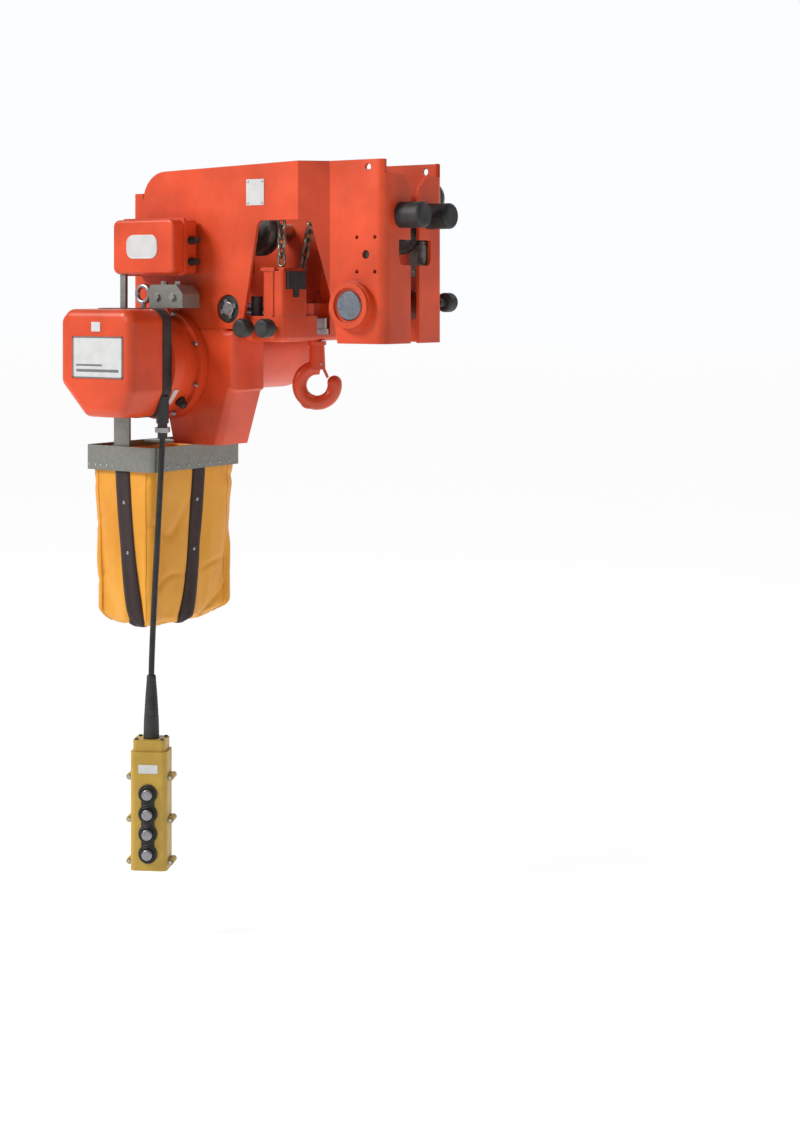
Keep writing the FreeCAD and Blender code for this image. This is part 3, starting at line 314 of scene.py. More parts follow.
def moulded(name, color, roughness=0.42):
    """Moulded plastic with a spark-eroded grain."""
    s = Shader(name, color, roughness)
    hand = s.ramp(s.noise(18.0, 6.0, 0.6), 0.35, 0.75)
    s.color(s.mix(hand, tuple(c * 0.82 for c in color), tuple(min(1, c * 1.08) for c in color)))
    s.roughness(s.noise(24.0, 5.0), roughness - 0.08, roughness + 0.1)
    s.relief((s.noise(520.0, 3.0), 0.22, 0.0004), soft_edge=0.0012)
    return s.mat


def printed_plate(name, color):
    s = Shader(name, color, 0.32, 0.15)
    s.color(s.mix(s.ramp(s.noise(40.0, 5.0), 0.4, 0.8), color, tuple(c * 0.86 for c in color)))
    s.roughness(s.noise(60.0, 4.0), 0.24, 0.42)
    brushed = s.noise(260.0, 2.0, 0.5, s.stretched((1, 1, 14)))
    s.relief((brushed, 0.08, 0.0003), soft_edge=0.0005)
    return s.mat


PAINT = enamel("orange_enamel", (0.80, 0.070, 0.009))
MATS = {
    "orange_paint": PAINT,
    "box_paint": PAINT,
    "hook_paint": enamel("hook_enamel", (0.76, 0.07, 0.014), 0.3, 0.9),
    "machined_steel": turned_steel("turned_steel"),
    "wheel_steel": rolled_iron("rolled_iron"),
    "zinc_plate": zinc_sheet("zinc_sheet"),
    "rubber": rubber("black_rubber"),
    "chain_steel": chain_steel("chain_steel"),
    "motor_grey": enamel("grey_enamel", (0.12, 0.125, 0.13), 0.45, 0.3),
    "bag_fabric": coated_cloth("bag_cloth"),
    "strap_webbing": webbing("strap_webbing"),
    "pendant_plastic": moulded("mustard_plastic", (0.62, 0.39, 0.05)),
    "black_plastic": moulded("black_plastic", (0.018, 0.018, 0.018), 0.4),
    "button_caps": turned_steel("button_silver", (0.42, 0.42, 0.44), 0.4),
    "cord_rubber": rubber("cord_rubber", 0.018, 0.48),
    "label_plate": printed_plate("plate_white", (0.74, 0.74, 0.73)),
}
MARK = printed_plate("plate_grey_print", (0.2, 0.2, 0.21))

for entry in frame["record"]["subparts"]:
    node_object = bpy.data.objects[entry["node"]]
    node_object.data.materials.clear()
    node_object.data.materials.append(MATS[entry["material_slot"]])
bpy.data.objects["tie_shafts"].data.materials[0] = turned_steel("bright_steel", (0.3, 0.33, 0.38), 0.36)
bpy.data.objects["hook_latch"].data.materials[0] = MATS["hook_paint"]
bpy.data.objects["cable_glands"].data.materials[0] = moulded("gland_plastic", (0.03, 0.03, 0.032), 0.36)


# ---- mesh helpers -----------------------------------------------------------------------
BOLT_TURN = 0.2             # radians that every bolt head is turned about its axis


def finish_piece(name, bm, slot, body="root", smooth=True, replaces=(), material=None):
    """Turns a bmesh into a piece that rides a body and takes a slot's material."""
    mesh = bpy.data.meshes.new(name)
    bmesh.ops.recalc_face_normals(bm, faces=bm.faces)
    bm.to_mesh(mesh)
    bm.free()
    for polygon in mesh.polygons:
        polygon.use_smooth = smooth
    mesh.materials.append(material or MATS[slot])
    piece = bpy.data.objects.new(name, mesh)
    scene.collection.objects.link(piece)
    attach(piece, body)
    if replaces:
        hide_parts(*replaces)
    return piece


def lathe(bm, outline, place, steps=32):
    """Spins an outline of (radius, height) about the Z axis of place, with closed ends."""
    rings = []
    for r, h in outline:
        ring = []
        for k in range(steps):
            a = 2 * math.pi * k / steps
            ring.append(bm.verts.new(place @ Vector((r * math.cos(a), r * math.sin(a), h))))
        rings.append(ring)
    for low, high in zip(rings, rings[1:]):
        for k in range(steps):
            n = (k + 1) % steps
            bm.faces.new((low[k], low[n], high[n], high[k]))
    bm.faces.new(list(reversed(rings[0])))
    bm.faces.new(rings[-1])


def facing(at, direction, turn=0.0):
    """A placement at a point whose Z axis looks along a direction."""
    d = Vector(direction).normalized()
    turned = d.to_track_quat("Z", "Y").to_matrix().to_4x4()
    return Matrix.Translation(Vector(at)) @ turned @ Matrix.Rotation(turn, 4, "Z")


def hex_bolt(bm, at, direction, across, height=0.004):
    """A washer and a hexagon head with a chamfered top."""
    place = facing(at, direction, BOLT_TURN)
    r = across / math.sqrt(3)
    lathe(bm, [(r * 1.28, 0.0), (r * 1.28, 0.0012), (r * 1.2, 0.0016)], place, 24)
    top = 0.0016 + height
    lathe(bm, [(r, 0.0014), (r, top - 0.0012), (r * 0.86, top)], place, 6)


def rivet(bm, at, direction, radius, height):
    """A domed head."""
    outline = [(radius, 0.0)]
    for k in range(1, 5):
        a = math.pi / 2 * k / 5
        outline.append((radius * math.cos(a), height * math.sin(a)))
    lathe(bm, outline, facing(at, direction), 16)


def block(bm, low, high, place=Matrix.Identity(4)):
    xs, ys, zs = zip(low, high)
    v = [bm.verts.new(place @ Vector((x, y, z))) for z in zs for y in ys for x in xs]
    for face in ((0, 2, 3, 1), (4, 5, 7, 6), (0, 1, 5, 4), (2, 6, 7, 3), (0, 4, 6, 2), (1, 3, 7, 5)):
        bm.faces.new([v[i] for i in face])


def closed_wire(bm, path, radius, steps=10):
    """A round wire along points, joined end to end."""
    angles = [2 * math.pi * k / steps for k in range(steps)]
    rings = []
    side = None
    for i, p in enumerate(path):
        along = (path[(i + 1) % len(path)] - path[i - 1]).normalized()
        if side is None:
            side = along.orthogonal().normalized()
        side = (side - along * side.dot(along)).normalized()
        up = along.cross(side)
        rings.append([bm.verts.new(p + (side * math.cos(a) + up * math.sin(a)) * radius) for a in angles])
    for low, high in zip(rings, rings[1:] + rings[:1]):
        for k in range(steps):
            n = (k + 1) % steps
            bm.faces.new((low[k], low[n], high[n], high[k]))


# ---- the pendant's cord -------------------------------------------------------------------
CORD_D = 0.013
CORD_POINTS = [
    (-0.213, -0.286, -0.417),
    (-0.213, -0.290, -0.480),
    (-0.210, -0.324, -0.860),
    (-0.210, -0.326, -0.933),
]
GLAND_X, GLAND_Y = CORD_POINTS[0][:2]
CORD_X, CORD_Y = CORD_POINTS[-1][:2]
BOOT_WIDE = 0.0174          # the boot's radius at the pendant
BOOT_NARROW = 0.0082
BOOT_RIBS = (0.36, 0.94)    # the ribbed stretch, as shares of the boot's height
RIB_COUNT = 14
RIB_DEPTH = 0.0011


def cable_boot():
    """A tapering rubber boot with ribs towards its narrow end."""
    low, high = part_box("cable_boot")
    bottom, top = low[2], high[2]
    outline = [(BOOT_WIDE * 0.96, bottom), (BOOT_WIDE, bottom + 0.004)]
    sections = 64
    first, last = BOOT_RIBS
    for k in range(sections + 1):
        t = k / sections
        z = bottom + 0.006 + (top - bottom - 0.008) * t
        r = BOOT_WIDE + (BOOT_NARROW + 0.0016 - BOOT_WIDE) * (0.25 * t + 0.75 * t * t)
        if first < t < last:
            turn = 2 * math.pi * (t - first) * RIB_COUNT / (last - first)
            r -= RIB_DEPTH * (0.5 - 0.5 * math.cos(turn)) ** 2
        outline.append((r, z))
    outline += [(BOOT_NARROW, top - 0.0006), (CORD_D / 2, top)]
    bm = bmesh.new()
    lathe(bm, outline, Matrix.Translation((CORD_X, CORD_Y, 0)), 40)
    return finish_piece("pendant_boot", bm, "rubber", replaces=("cable_boot",))


def pendant_cord():
    curve = bpy.data.curves.new("pendant_cable", "CURVE")
    curve.dimensions = "3D"
    spline = curve.splines.new("NURBS")
    spline.points.add(len(CORD_POINTS) - 1)
    for point, at in zip(spline.points, CORD_POINTS):
        point.co = (*at, 1)
    spline.order_u = 3
    spline.use_endpoint_u = True
    spline.resolution_u = 24
    curve.bevel_depth = CORD_D / 2
    curve.bevel_resolution = 8
    curve.use_fill_caps = True
    curve.materials.append(MATS["cord_rubber"])
    cable = bpy.data.objects.new("pendant_cable", curve)
    scene.collection.objects.link(cable)
    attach(cable, "root")
    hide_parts("pendant_cord")
    return cable


boot = cable_boot()
cable = pendant_cord()


# ---- load chain -----------------------------------------------------------------------------
LINK_PITCH = 0.021
LINK_WIRE = 0.0071
LINK_WIDTH = 0.0238
FALL_Y = 0.118              # how far each chain hangs from the beam's web plane


def link_path(centre, along, side):
    """The centreline of one link: two straights and two half circles."""
    r = (LINK_WIDTH - LINK_WIRE) / 2
    straight = (LINK_PITCH + LINK_WIRE) / 2 - r
    points = []
    for end in (1, -1):
        for k in range(9):
            a = math.pi * k / 8
            points.append(centre + along * end * (straight + r * math.sin(a)) + side * end * r * math.cos(a))
    return points


def chain(name, start, end, body, node_part):
    """A straight run of links on each side of the beam, every second link turned."""
    bm = bmesh.new()
    for y_side in (-1, 1):
        a = Vector((start[0], start[1] * y_side, start[2]))
        b = Vector((end[0], end[1] * y_side, end[2]))
        along = (b - a).normalized()
        flat = along.orthogonal().normalized()
        across = along.cross(flat)
        count = int((b - a).length / LINK_PITCH)
        room = (b - a).length - count * LINK_PITCH
        for i in range(count):
            centre = a + along * (room / 2 + LINK_PITCH * (i + 0.5))
            angle = math.radians(45 if i % 2 else 135)
            side = flat * math.cos(angle) + across * math.sin(angle)
            closed_wire(bm, link_path(centre, along, side), LINK_WIRE / 2)
    finish_piece(name, bm, "chain_steel", body, replaces=(node_part,))


falls_low, falls_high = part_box("chain_falls")
fall_x = (falls_low[0] + falls_high[0]) / 2
chain("load_chain_falls", (fall_x, FALL_Y, falls_low[2]), (fall_x, FALL_Y, falls_high[2]),
      "hook_block", "chain_falls")
runs_low, runs_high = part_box("chain_runs")
chain("load_chain_runs", (runs_high[0] - 0.011, FALL_Y, runs_high[2] - 0.004),
      (runs_low[0] + 0.011, FALL_Y, runs_low[2] + 0.004), "root", "chain_runs")


# ---- chain bag ----------------------------------------------------------------------------------
BAG_AROUND = 144
BAG_WALL_ROWS = 74
BAG_EDGE_ROWS = 8
BAG_CAP_ROWS = 14
BAG_CORNER = 0.021
BAG_EDGE = 0.011
BAG_LIFT = 0.044            # how far the bottom's hidden corners pull up
BAG_HEM_ROWS = 4            # rows held by the frame
BAG_CLOTH = 0.0016          # thickness of the fabric
CLOTH_FRAMES = 24
CLOTH_CAP = 0.010           # how far the simulation may move a point
STRAP_WIDTH = 0.042
STRAP_HOLD = 0.35           # how firmly the two near straps hold the cloth in the simulation
STRAP_RIVET_ROWS = (22, 44)
# for each wall, the column where its strap starts and how many columns it drifts by the bottom
STRAP_LINES = (
    (0.8, 5.6),
    (BAG_AROUND * 0.25 + 1.9, -6.2),
    (BAG_AROUND * 0.5 - 0.8, 0.0),
    (BAG_AROUND * 0.75 - 1.9, 0.0),
)
# the seams beside the four corners, as shares of the way round
SEAM_SHARES = (0.078, 0.124, 0.376, 0.422, 0.578, 0.624, 0.876, 0.922)


def strap_column(line, r):
    """The strap's middle in row r, in columns."""
    start, drift = line
    return start + drift * min(1.0, r / BAG_WALL_ROWS) ** 1.6


def rounded_rectangle(half_x, half_y, radius, count):
    """Points at equal steps round a rounded rectangle, from the middle of its -Y side."""
    cx, cy = half_x - radius, half_y - radius
    sides = [2 * cx, 2 * cy] * 2
    centres = ((cx, -cy), (cx, cy), (-cx, cy), (-cx, -cy))
    directions = ((1, 0), (0, 1), (-1, 0), (0, -1))
    arc = math.pi / 2 * radius
    total = sum(sides) + 4 * arc
    points = []
    for k in range(count):
        left = (total * k / count + sides[0] / 2) % total
        for i, (dx, dy) in enumerate(directions):
            if left <= sides[i]:
                x, y = centres[i - 1]
                points.append((x + dy * radius + dx * left, y - dx * radius + dy * left))
                break
            left -= sides[i]
            if left <= arc:
                x, y = centres[i]
                ahead, out = radius * math.sin(left / radius), radius * math.cos(left / radius)
                points.append((x + dy * out + dx * ahead, y - dx * out + dy * ahead))
                break
            left -= arc
    return points


class Bag:
    """The bag's cloth as a grid of rows, from the hem down the walls and across the bottom."""

    def __init__(self):
        low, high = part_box("chain_bag")
        self.centre = ((low[0] + high[0]) / 2, (low[1] + high[1]) / 2)
        self.half = ((high[0] - low[0]) / 2 - 0.001, (high[1] - low[1]) / 2 - 0.001)
        self.top = high[2] - 0.002
        self.bottom = low[2] + 0.008
        self.rows = []
        self.build()

    def row(self, inset, z, droop, scale=1.0):
        """Adds a row round the bag at a height, lifted most at its hidden corner."""
        hx, hy = self.half
        radius = BAG_CORNER + inset * 0.5
        loop = rounded_rectangle(hx - inset, hy - inset, radius, BAG_AROUND)
        made = []
        for x, y in loop:
            corner = max(0.0, abs(x) / hx + abs(y) / hy - 1.0)
            near = max(0.0, min(1.0, 0.5 + (x / hx - y / hy) * 0.5))
            lift = droop * (corner * corner * (1 - near) + 0.25 * (1 - corner) * (1 - near))
            made.append(Vector((self.centre[0] + x * scale, self.centre[1] + y * scale, z + lift)))
        self.rows.append(made)

    def build(self):
        wall_end = self.bottom + BAG_EDGE
        for i in range(BAG_WALL_ROWS):
            t = i / (BAG_WALL_ROWS - 1)
            tuck = 0.004 * math.sin(math.pi * min(1.0, t * 1.1)) ** 2
            droop = BAG_LIFT * max(0.0, (t - 0.4) / 0.6) ** 1.5
            self.row(tuck, self.top + (wall_end - self.top) * t, droop)
        for i in range(1, BAG_EDGE_ROWS + 1):
            a = math.pi / 2 * i / BAG_EDGE_ROWS
            z = wall_end - BAG_EDGE * math.sin(a) * 0.86
            self.row(BAG_EDGE * 0.8 * (1 - math.cos(a)), z, BAG_LIFT)
        inset = BAG_EDGE * 0.8
        start_z = wall_end - BAG_EDGE * 0.86
        for i in range(1, BAG_CAP_ROWS + 1):
            t = i / (BAG_CAP_ROWS + 0.5)
            z = start_z + (self.bottom - start_z) * math.sin(math.pi / 2 * t)
            self.row(inset, z, BAG_LIFT * (1 - t) ** 2, scale=1 - t)

    def mesh(self):
        bm = bmesh.new()
        grid = [[bm.verts.new(p) for p in row] for row in self.rows]
        for a, b in zip(grid, grid[1:]):
            for k in range(BAG_AROUND):
                n = (k + 1) % BAG_AROUND
                bm.faces.new((a[k], b[k], b[n], a[n]))
        bm.faces.new(grid[-1])
        bmesh.ops.recalc_face_normals(bm, faces=bm.faces)
        made = bpy.data.meshes.new("bag_cloth_rest")
        bm.to_mesh(made)
        bm.free()
        return made

    def simulate(self):
        """Lets the cloth settle under its own weight and a little air, then keeps the moved rows."""
        cloth = bpy.data.objects.new("bag_cloth_sim", self.mesh())
        scene.collection.objects.link(cloth)
        pin = cloth.vertex_groups.new(name="hem")
        pin.add(list(range(BAG_AROUND * BAG_HEM_ROWS)), 1.0, "REPLACE")
        held = [k for k in range(BAG_AROUND) if self.near_strap(k)]
        loose_rows = range(BAG_HEM_ROWS, len(self.rows))
        pin.add([r * BAG_AROUND + k for r in loose_rows for k in held], STRAP_HOLD, "REPLACE")
        modifier = cloth.modifiers.new("cloth", "CLOTH")
        settings = modifier.settings
        settings.quality = 6
        settings.mass = 0.35
        settings.tension_stiffness = 22
        settings.compression_stiffness = 14
        settings.bending_stiffness = 1.4
        settings.use_pressure = True
        settings.uniform_pressure_force = 2.4
        settings.vertex_group_mass = "hem"
        modifier.point_cache.frame_start = 1
        modifier.point_cache.frame_end = CLOTH_FRAMES
        for step in range(1, CLOTH_FRAMES + 1):
            scene.frame_set(step)
        moved = cloth.evaluated_get(bpy.context.evaluated_depsgraph_get()).to_mesh()
        for r, row in enumerate(self.rows):
            for k in range(BAG_AROUND):
                shift = moved.vertices[r * BAG_AROUND + k].co - row[k]
                if shift.length > CLOTH_CAP:
                    shift *= CLOTH_CAP / shift.length
                row[k] = row[k] + shift
        scene.frame_set(1)
        bpy.data.objects.remove(cloth)

    def near_strap(self, k):
        """Whether a column lies under the top of the front or the right wall's strap."""
        quarter = BAG_AROUND / 4
        return min(k % quarter, quarter - k % quarter) < 3 and k < 60

    def off_straps(self, r, k):
        """0.15 under a strap, rising to 1 clear of it: the webbing holds the cloth flat."""
        clear = 1.0
        for line in STRAP_LINES:
            away = abs((k - strap_column(line, r) + BAG_AROUND / 2) % BAG_AROUND - BAG_AROUND / 2)
            t = max(0.0, min(1.0, (away - 3.5) / 7))
            clear = min(clear, 0.15 + 0.85 * t * t * (3 - 2 * t))
        return clear

    def crease(self):
        """Soft diagonal folds and small puckers, strongest low down and near the corners."""
        normals = self.normals()
        for r, row in enumerate(self.rows):
            depth = min(1.0, r / BAG_WALL_ROWS)
            for k, p in enumerate(row):
                fold = noise.noise(Vector((p.x * 9 + p.y * 9, p.z * 7 + p.x * 5, 3.7)))
                pucker = noise.noise(Vector((p.x * 26, p.y * 26, p.z * 15 + 9.1)))
                slack = 1.25 if p.x > self.centre[0] + self.half[0] * 0.8 else 0.6
                slack *= self.off_straps(r, k)
                line = noise.noise(Vector((p.x * 7 + p.y * 6 - p.z * 5, p.z * 6 + p.y * 4, 21.3)))
                valley = max(0.0, 1 - abs(line) * 7) ** 2
                amount = slack * (0.0110 * fold * (0.3 + 0.7 * depth) - 0.0042 * valley)
                amount += 0.0020 * slack * pucker
                amount = max(-0.012, min(amount, 0.0032))
                row[k] = p + normals[r][k] * amount * min(1.0, r / 5)

    def normals(self):
        """The outward direction at every point of the grid."""
        made = []
        count = len(self.rows)
        for r, row in enumerate(self.rows):
            up = self.rows[max(0, r - 1)]
            down = self.rows[min(count - 1, r + 1)]
            line = []
            for k in range(BAG_AROUND):
                around = row[(k + 1) % BAG_AROUND] - row[k - 1]
                fall = down[k] - up[k]
                flat = around.length * fall.length == 0
                line.append(Vector((0, 0, -1)) if flat else around.cross(-fall).normalized())
            made.append(line)
        return made

    def at(self, r, k):
        """A point and normal between grid columns, k in columns."""
        k = k % BAG_AROUND
        a, b, t = int(k), (int(k) + 1) % BAG_AROUND, k % 1
        return (self.rows[r][a].lerp(self.rows[r][b], t),
                self.saved_normals[r][a].lerp(self.saved_normals[r][b], t).normalized())

    def strip(self, bm, column, width, thickness, first, last):
        """A flat band sewn on the cloth along a column that may drift from row to row."""
        lift = 0.0006
        loops = []
        for r in range(first, last):
            here = column(r)
            step = (self.at(r, here + 0.5)[0] - self.at(r, here - 0.5)[0]).length
            reach = min(width / 2 / max(step, 1e-5), BAG_AROUND / 9)
            outer = []
            for j in range(7):
                p, n = self.at(r, here + reach * (j / 3 - 1))
                bulge = thickness * (1.0 if 0 < j < 6 else 0.55)
                outer.append((p + n * (lift + bulge), p + n * (lift - 0.0012)))
            loops.append([o for o, _ in outer] + [i for _, i in reversed(outer)])
        rings = [[bm.verts.new(p) for p in loop] for loop in loops]
        for a, b in zip(rings, rings[1:]):
            for k in range(len(a)):
                n = (k + 1) % len(a)
                bm.faces.new((a[k], b[k], b[n], a[n]))
        bm.faces.new(rings[0])
        bm.faces.new(list(reversed(rings[-1])))


def make_bag():
    bag = Bag()
    bag.simulate()
    bag.crease()
    bag.saved_normals = bag.normals()
    piece = bpy.data.objects.new("bag", bag.mesh())
    scene.collection.objects.link(piece)
    piece.data.materials.append(MATS["bag_fabric"])
    for polygon in piece.data.polygons:
        polygon.use_smooth = True
    thick = piece.modifiers.new("thickness", "SOLIDIFY")
    thick.thickness = BAG_CLOTH
    thick.offset = -1
    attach(piece, "root")
    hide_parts("chain_bag")
    return bag, piece


def bag_straps(bag):
    """Webbing from the frame down each wall and in under the bottom, with rivets."""
    bm = bmesh.new()
    pins = bmesh.new()
    last = len(bag.rows) - 5
    for line in STRAP_LINES:
        bag.strip(bm, lambda r, line=line: strap_column(line, r), STRAP_WIDTH, 0.0022, 3, last)
        for r in STRAP_RIVET_ROWS:
            p, n = bag.at(r, strap_column(line, r))
            rivet(pins, p + n * 0.0026, n, 0.0042, 0.0022)
    webbing_piece = finish_piece("bag_webbing", bm, "strap_webbing", replaces=("bag_straps",))
    rivets = finish_piece("strap_rivets", pins, "machined_steel")
    seams = bmesh.new()
    for share in SEAM_SHARES:
        bag.strip(seams, lambda r, c=BAG_AROUND * share: c, 0.006, 0.0008, 2, BAG_WALL_ROWS)
    seam_piece = finish_piece("bag_seams", seams, "bag_fabric")
    return [webbing_piece, rivets, seam_piece]


bag_grid, bag_piece = make_bag()
sewn_on = bag_straps(bag_grid)


# ---- pendant details ---------------------------------------------------------------------------
PENDANT_TURN = math.radians(28.0)
PENDANT_OUT = Vector((math.sin(PENDANT_TURN), -math.cos(PENDANT_TURN), 0))
PENDANT_SIDE = Vector((math.cos(PENDANT_TURN), math.sin(PENDANT_TURN), 0))
PENDANT_AXIS = Vector((CORD_X, CORD_Y, 0))
PENDANT_FACE = 0.031
PENDANT_TOP = -1.0722
LABEL_Z = -1.134
LABEL_HALF = (0.0215, 0.0095)
SCREW_PLACES = (0.0285, 0.0185)
BUTTON_Z = (-1.188, -1.2315, -1.275, -1.3185)


def on_pendant(side, out, z):
    """A point given sideways and outwards from the pendant's axis, as seen facing its buttons."""
    return PENDANT_AXIS + PENDANT_SIDE * side + PENDANT_OUT * out + Vector((0, 0, z))


def button_boots():
    """Rubber bellows round each button, joined by a strip down the pendant's face."""
    bm = bmesh.new()
    for z in BUTTON_Z:
        place = facing(on_pendant(0, PENDANT_FACE, z), PENDANT_OUT)
        lathe(bm, [(0.0208, -0.0002), (0.0210, 0.0030), (0.0196, 0.0042), (0.0176, 0.0040), (0.0168, 0.0034),
                   (0.0158, 0.0046), (0.0146, 0.0058), (0.0134, 0.0050), (0.0126, 0.0044),
                   (0.0112, 0.0044), (0.0100, 0.0030)], place, 48)
    strip = facing(on_pendant(0, PENDANT_FACE, (BUTTON_Z[0] + BUTTON_Z[-1]) / 2), PENDANT_OUT)
    half = (BUTTON_Z[0] - BUTTON_Z[-1]) / 2
    block(bm, (-0.0145, -half, -0.0002), (0.0145, half, 0.0028), strip)
    finish_piece("button_bellows", bm, "rubber", smooth=False, replaces=("button_boots",))


def pendant_label():
    """A blank label above the buttons."""
    bm = bmesh.new()
    wide, tall = LABEL_HALF
    place = facing(on_pendant(0, PENDANT_FACE, LABEL_Z), PENDANT_OUT)
    block(bm, (-wide, -tall, -0.0002), (wide, tall, 0.0008), place)
    finish_piece("pendant_label", bm, "label_plate", smooth=False)


def pendant_screws():
    """Four screw heads on top of the pendant, round its boot."""
    bm = bmesh.new()
    side_reach, out_reach = SCREW_PLACES
    for side in (-side_reach, side_reach):
        for out in (-out_reach, out_reach):
            place = facing(on_pendant(side, out, PENDANT_TOP), (0, 0, 1))
            lathe(bm, [(0.0042, 0.0), (0.0042, 0.0022), (0.0034, 0.0030)], place, 20)
    finish_piece("pendant_screws", bm, "black_plastic", smooth=False)


button_boots()
pendant_label()
pendant_screws()


# ---- fasteners and trim on the hoist body and frames ---------------------------------------------
FRONT = Vector((0, -1, 0))
MOTOR_X, MOTOR_Z = -0.310, -0.255       # the motor's axis
FLANGE_Y = -0.1905                      # face of the motor's mounting flange
FLANGE_BOLTS_R = 0.122
REAR_CASE = (-0.222, 0.157, -0.2227)    # middle of the rear housing's bolted rim
REAR_BOLTS_R = 0.076
FRAME_PLATE_X = (-0.072, -0.022)
FRAME_PLATE_Z = (0.100, 0.158)
FRAME_PLATE_Y = -0.1665
LEFT_TIE = (-0.126, -0.130)             # X and Z of the left tie shaft
PATTERN = (0.218, -0.011)               # X and Z of the roller bracket's bolt pattern
COVER_PLATE_X = (-0.375, -0.226)
COVER_PLATE_Z = (-0.282, -0.190)
COVER_PLATE_Y = -0.4015
BORDER = 0.0032


def on_motor(radius, degrees, y):
    """A point round the motor's axis and the direction out from the axis there."""
    a = math.radians(degrees)
    place = (MOTOR_X + radius * math.cos(a), y, MOTOR_Z + radius * math.sin(a))
    return place, (math.cos(a), 0, math.sin(a))


def trim_bolts():
    """Bolts round the motor's flange and the rear housing, and the nut of the cord's gland."""
    bm = bmesh.new()
    for k in range(8):
        hex_bolt(bm, on_motor(FLANGE_BOLTS_R, 22.5 + 45 * k, FLANGE_Y)[0], FRONT, 0.008)
    x, y, z = REAR_CASE
    for k in range(5):
        a = math.radians(205 + 32.5 * k)
        hex_bolt(bm, (x + REAR_BOLTS_R * math.cos(a), y, z + REAR_BOLTS_R * math.sin(a)), -FRONT, 0.010)
    gland = facing((GLAND_X, GLAND_Y, -0.4035), (0, 0, 1))
    lathe(bm, [(0.0165, 0.0), (0.0178, 0.0012), (0.0178, 0.0105), (0.0165, 0.0117)], gland, 6)
    finish_piece("trim_bolts", bm, "machined_steel", smooth=False)


def trim_rivets():
    """Rivets at the corners of the frame's plate and along the foot of the bag frame."""
    bm = bmesh.new()
    for x in (FRAME_PLATE_X[0] + 0.005, FRAME_PLATE_X[1] - 0.005):
        for z in (FRAME_PLATE_Z[0] + 0.005, FRAME_PLATE_Z[1] - 0.005):
            rivet(bm, (x, FRAME_PLATE_Y, z), FRONT, 0.0028, 0.0014)
    low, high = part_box("bag_frame")
    z = low[2] + 0.010
    for i in range(5):
        rivet(bm, (low[0] + 0.016 + i * 0.017, low[1], z), FRONT, 0.003, 0.0016)
    for i in range(7):
        y = low[1] + 0.05 + i * 0.036
        rivet(bm, (high[0], y, z), (1, 0, 0), 0.003, 0.0016)
        rivet(bm, (low[0], y, z), (-1, 0, 0), 0.003, 0.0016)
    finish_piece("trim_rivets", bm, "machined_steel")


def tie_nuts():
    """A round nut with four lugs in each round hole over the left tie shaft, on a black ring of painted
    shade that stands in for the shadow inside the hole round the nut.
    """
    nuts = bmesh.new()
    dark = bmesh.new()
    x, z = LEFT_TIE
    for side in (-1, 1):
        out = (0, side, 0)
        # painted shade: this black ring is not a real washer; it darkens the plate round the nut where the
        # hole's interior lies in shadow
        washer = facing((x, side * 0.1572, z), out, math.pi / 4)
        lathe(dark, [(0.0305, 0.0), (0.0305, 0.0024), (0.0290, 0.0034), (0.0170, 0.0034)], washer, 48)
        nut = facing((x, side * 0.1606, z), out, 0.35)
        lathe(nuts, [(0.0155, 0.0), (0.0155, 0.0046), (0.0140, 0.0056)], nut, 36)
        for turn in (0.0, math.pi / 2):
            arm = nut @ Matrix.Rotation(turn, 4, "Z")
            block(nuts, (-0.0225, -0.0050, 0.0), (0.0225, 0.0050, 0.0040), arm)
    finish_piece("tie_ring_nuts", nuts, "machined_steel", smooth=False)
    pattern_hole_shade(dark)
    # painted shade: the black rings round the tie nuts and the discs behind the pattern holes stand in for
    # shadow inside the holes
    finish_piece("tie_hole_shade", dark, "rubber", smooth=False)


def pattern_hole_shade(bm):
    """Painted shade: a dark disc behind the middle hole of each bolt pattern, standing in for the shadow
    inside the hole.
    """
    x, z = PATTERN
    for side in (-1, 1):
        place = facing((x, side * 0.1078, z), (0, side, 0))
        lathe(bm, [(0.0090, 0.0), (0.0090, 0.0012), (0.0080, 0.0016)], place, 32)


def rounded_plate(bm, place, half_x, half_y, radius, layers):
    """A plate with round corners; layers are (inset, height) from its foot to its face."""
    steps = 64
    rings = []
    for inset, height in layers:
        loop = rounded_rectangle(half_x - inset, half_y - inset, radius - inset, steps)
        rings.append([bm.verts.new(place @ Vector((x, y, height))) for x, y in loop])
    for a, b in zip(rings, rings[1:]):
        for k in range(steps):
            n = (k + 1) % steps
            bm.faces.new((a[k], a[n], b[n], b[k]))
    bm.faces.new(rings[0])
    bm.faces.new(rings[-1])


def upright(at, direction):
    """A placement whose Z axis looks along a direction and whose Y axis points up."""
    z = Vector(direction).normalized()
    x = Vector((0, 0, 1)).cross(z).normalized()
    y = z.cross(x)
    return Matrix.Translation(Vector(at)) @ Matrix((x, y, z)).transposed().to_4x4()


def blank_plates():
    """A blank round-cornered plate on the control box and a narrow label on the motor housing."""
    bm = bmesh.new()
    low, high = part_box("control_lid")
    centre = ((low[0] + high[0]) / 2 - 0.002, low[1], (low[2] + high[2]) / 2)
    face = [(0.0, -0.0002), (0.0, 0.0011), (0.0008, 0.0016), (0.0028, 0.0016), (0.0034, 0.0011)]
    rounded_plate(bm, upright(centre, FRONT), 0.046, 0.027, 0.020, face)
    label = upright(*on_motor(0.1212, -36.0, -0.253))
    rounded_plate(bm, label, 0.0070, 0.0200, 0.002, [(0.0, -0.0012), (0.0, 0.0006), (0.0004, 0.0009)])
    finish_piece("blank_plates", bm, "label_plate", smooth=False)


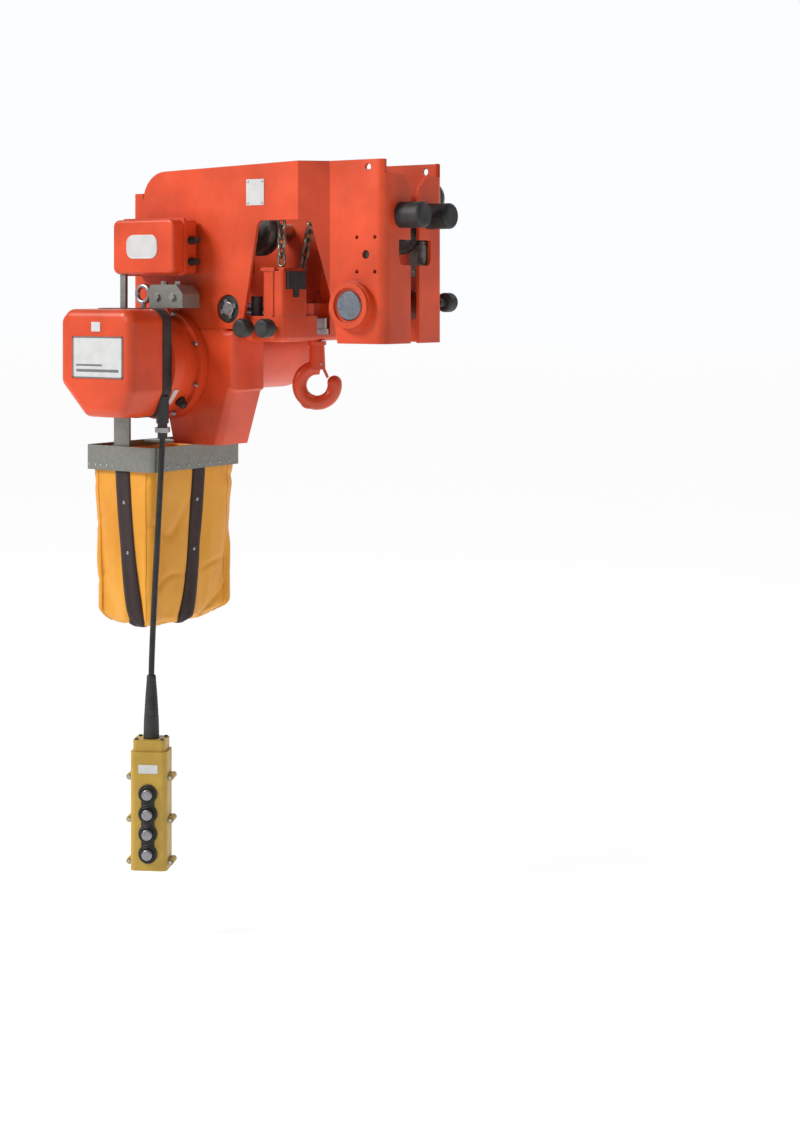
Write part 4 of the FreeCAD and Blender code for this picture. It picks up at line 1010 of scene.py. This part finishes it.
def plate_border():
    """A thin border and two plain bars on the cover's large plate."""
    bm = bmesh.new()
    (x0, x1), (z0, z1) = COVER_PLATE_X, COVER_PLATE_Z
    y = COVER_PLATE_Y
    for start, end in (((x0, z0), (x1, z0 + BORDER)), ((x0, z1 - BORDER), (x1, z1)),
                       ((x0, z0), (x0 + BORDER, z1)), ((x1 - BORDER, z0), (x1, z1))):
        block(bm, (start[0], y - 0.0007, start[1]), (end[0], y + 0.0002, end[1]))
    block(bm, (x0 + 0.012, y - 0.0004, z0 + 0.014), (x1 - 0.012, y + 0.0002, z0 + 0.020))
    block(bm, (x0 + 0.012, y - 0.0004, z0 + 0.027), (x0 + 0.088, y + 0.0002, z0 + 0.031))
    finish_piece("plate_border", bm, "label_plate", smooth=False, material=MARK)


def housing_gland():
    """A black cable gland low on the motor housing's right side."""
    bm = bmesh.new()
    place = facing(*on_motor(0.114, -44.0, -0.213))
    lathe(bm, [(0.0125, 0.0), (0.0125, 0.010), (0.0115, 0.011)], place, 6)
    lathe(bm, [(0.0100, 0.010), (0.0100, 0.018), (0.0085, 0.022), (0.0050, 0.0235)], place, 28)
    finish_piece("housing_gland", bm, "black_plastic", smooth=False)


trim_bolts()
trim_rivets()
tie_nuts()
blank_plates()
plate_border()
housing_gland()


# ---- studio -----------------------------------------------------------------------------------
FLOOR_DROP = 0.16           # how far the floor lies below the pendant
FLOOR_REACH = 40.0
SURROUND_DIM = 0.2          # brightness in front of the hoist, where it is 1 beyond it


def surround():
    """A pale surround, bright beyond the hoist and dimmer in front of it."""
    world = bpy.data.worlds.new("surround")
    world.use_nodes = True
    tree = world.node_tree
    background = tree.nodes["Background"]
    coords = tree.nodes.new("ShaderNodeTexCoord")
    away = tree.nodes.new("ShaderNodeVectorMath")
    away.operation = "DOT_PRODUCT"
    a = math.radians(CAMERA_AZIMUTH)
    away.inputs[1].default_value = (-math.sin(a), math.cos(a), 0)
    shade = tree.nodes.new("ShaderNodeMapRange")
    shade.inputs["From Min"].default_value = 0.55
    shade.inputs["From Max"].default_value = 0.92
    shade.inputs["To Min"].default_value = SURROUND_DIM
    shade.inputs["To Max"].default_value = 1.0
    tree.links.new(coords.outputs["Generated"], away.inputs[0])
    tree.links.new(away.outputs["Value"], shade.inputs["Value"])
    background.inputs["Color"].default_value = (0.97, 0.98, 1.0, 1)
    tree.links.new(shade.outputs["Result"], background.inputs["Strength"])
    scene.world = world


def pale_floor():
    """A plain floor that glows a little, so that it stays pale far from the lights."""
    z = cad_box[0][2] - FLOOR_DROP
    bm = bmesh.new()
    corners = ((-1, -1), (1, -1), (1, 1), (-1, 1))
    bm.faces.new([bm.verts.new((x * FLOOR_REACH, y * FLOOR_REACH, z)) for x, y in corners])
    mesh = bpy.data.meshes.new("floor")
    bm.to_mesh(mesh)
    bm.free()
    s = Shader("floor_pale", (0.3, 0.3, 0.3), 0.9)
    s.color(s.mix(s.noise(2.0, 2.0), (0.29, 0.29, 0.29), (0.31, 0.31, 0.31)))
    s.bsdf.inputs["Emission Color"].default_value = (1, 1, 1, 1)
    s.bsdf.inputs["Emission Strength"].default_value = 0.86
    mesh.materials.append(s.mat)
    floor = bpy.data.objects.new("floor", mesh)
    scene.collection.objects.link(floor)


def soft_light(name, at, aim, size, power):
    data = bpy.data.lights.new(name, "AREA")
    data.shape = "DISK"
    data.size = size
    data.energy = power
    lamp = bpy.data.objects.new(name, data)
    lamp.location = at
    lamp.rotation_mode = "QUATERNION"
    lamp.rotation_quaternion = (Vector(aim) - Vector(at)).to_track_quat("-Z", "Y")
    scene.collection.objects.link(lamp)


pale_floor()
surround()
scene.view_settings.view_transform = "Standard"
soft_light("key", (-2.4, -3.4, 2.6), (-0.1, 0, -0.3), 1.8, 185)
soft_light("fill", (3.6, -2.2, 0.6), (0, 0, -0.3), 2.4, 5)
soft_light("rim", (1.6, 3.2, 2.4), (0, 0, 0), 1.6, 18)
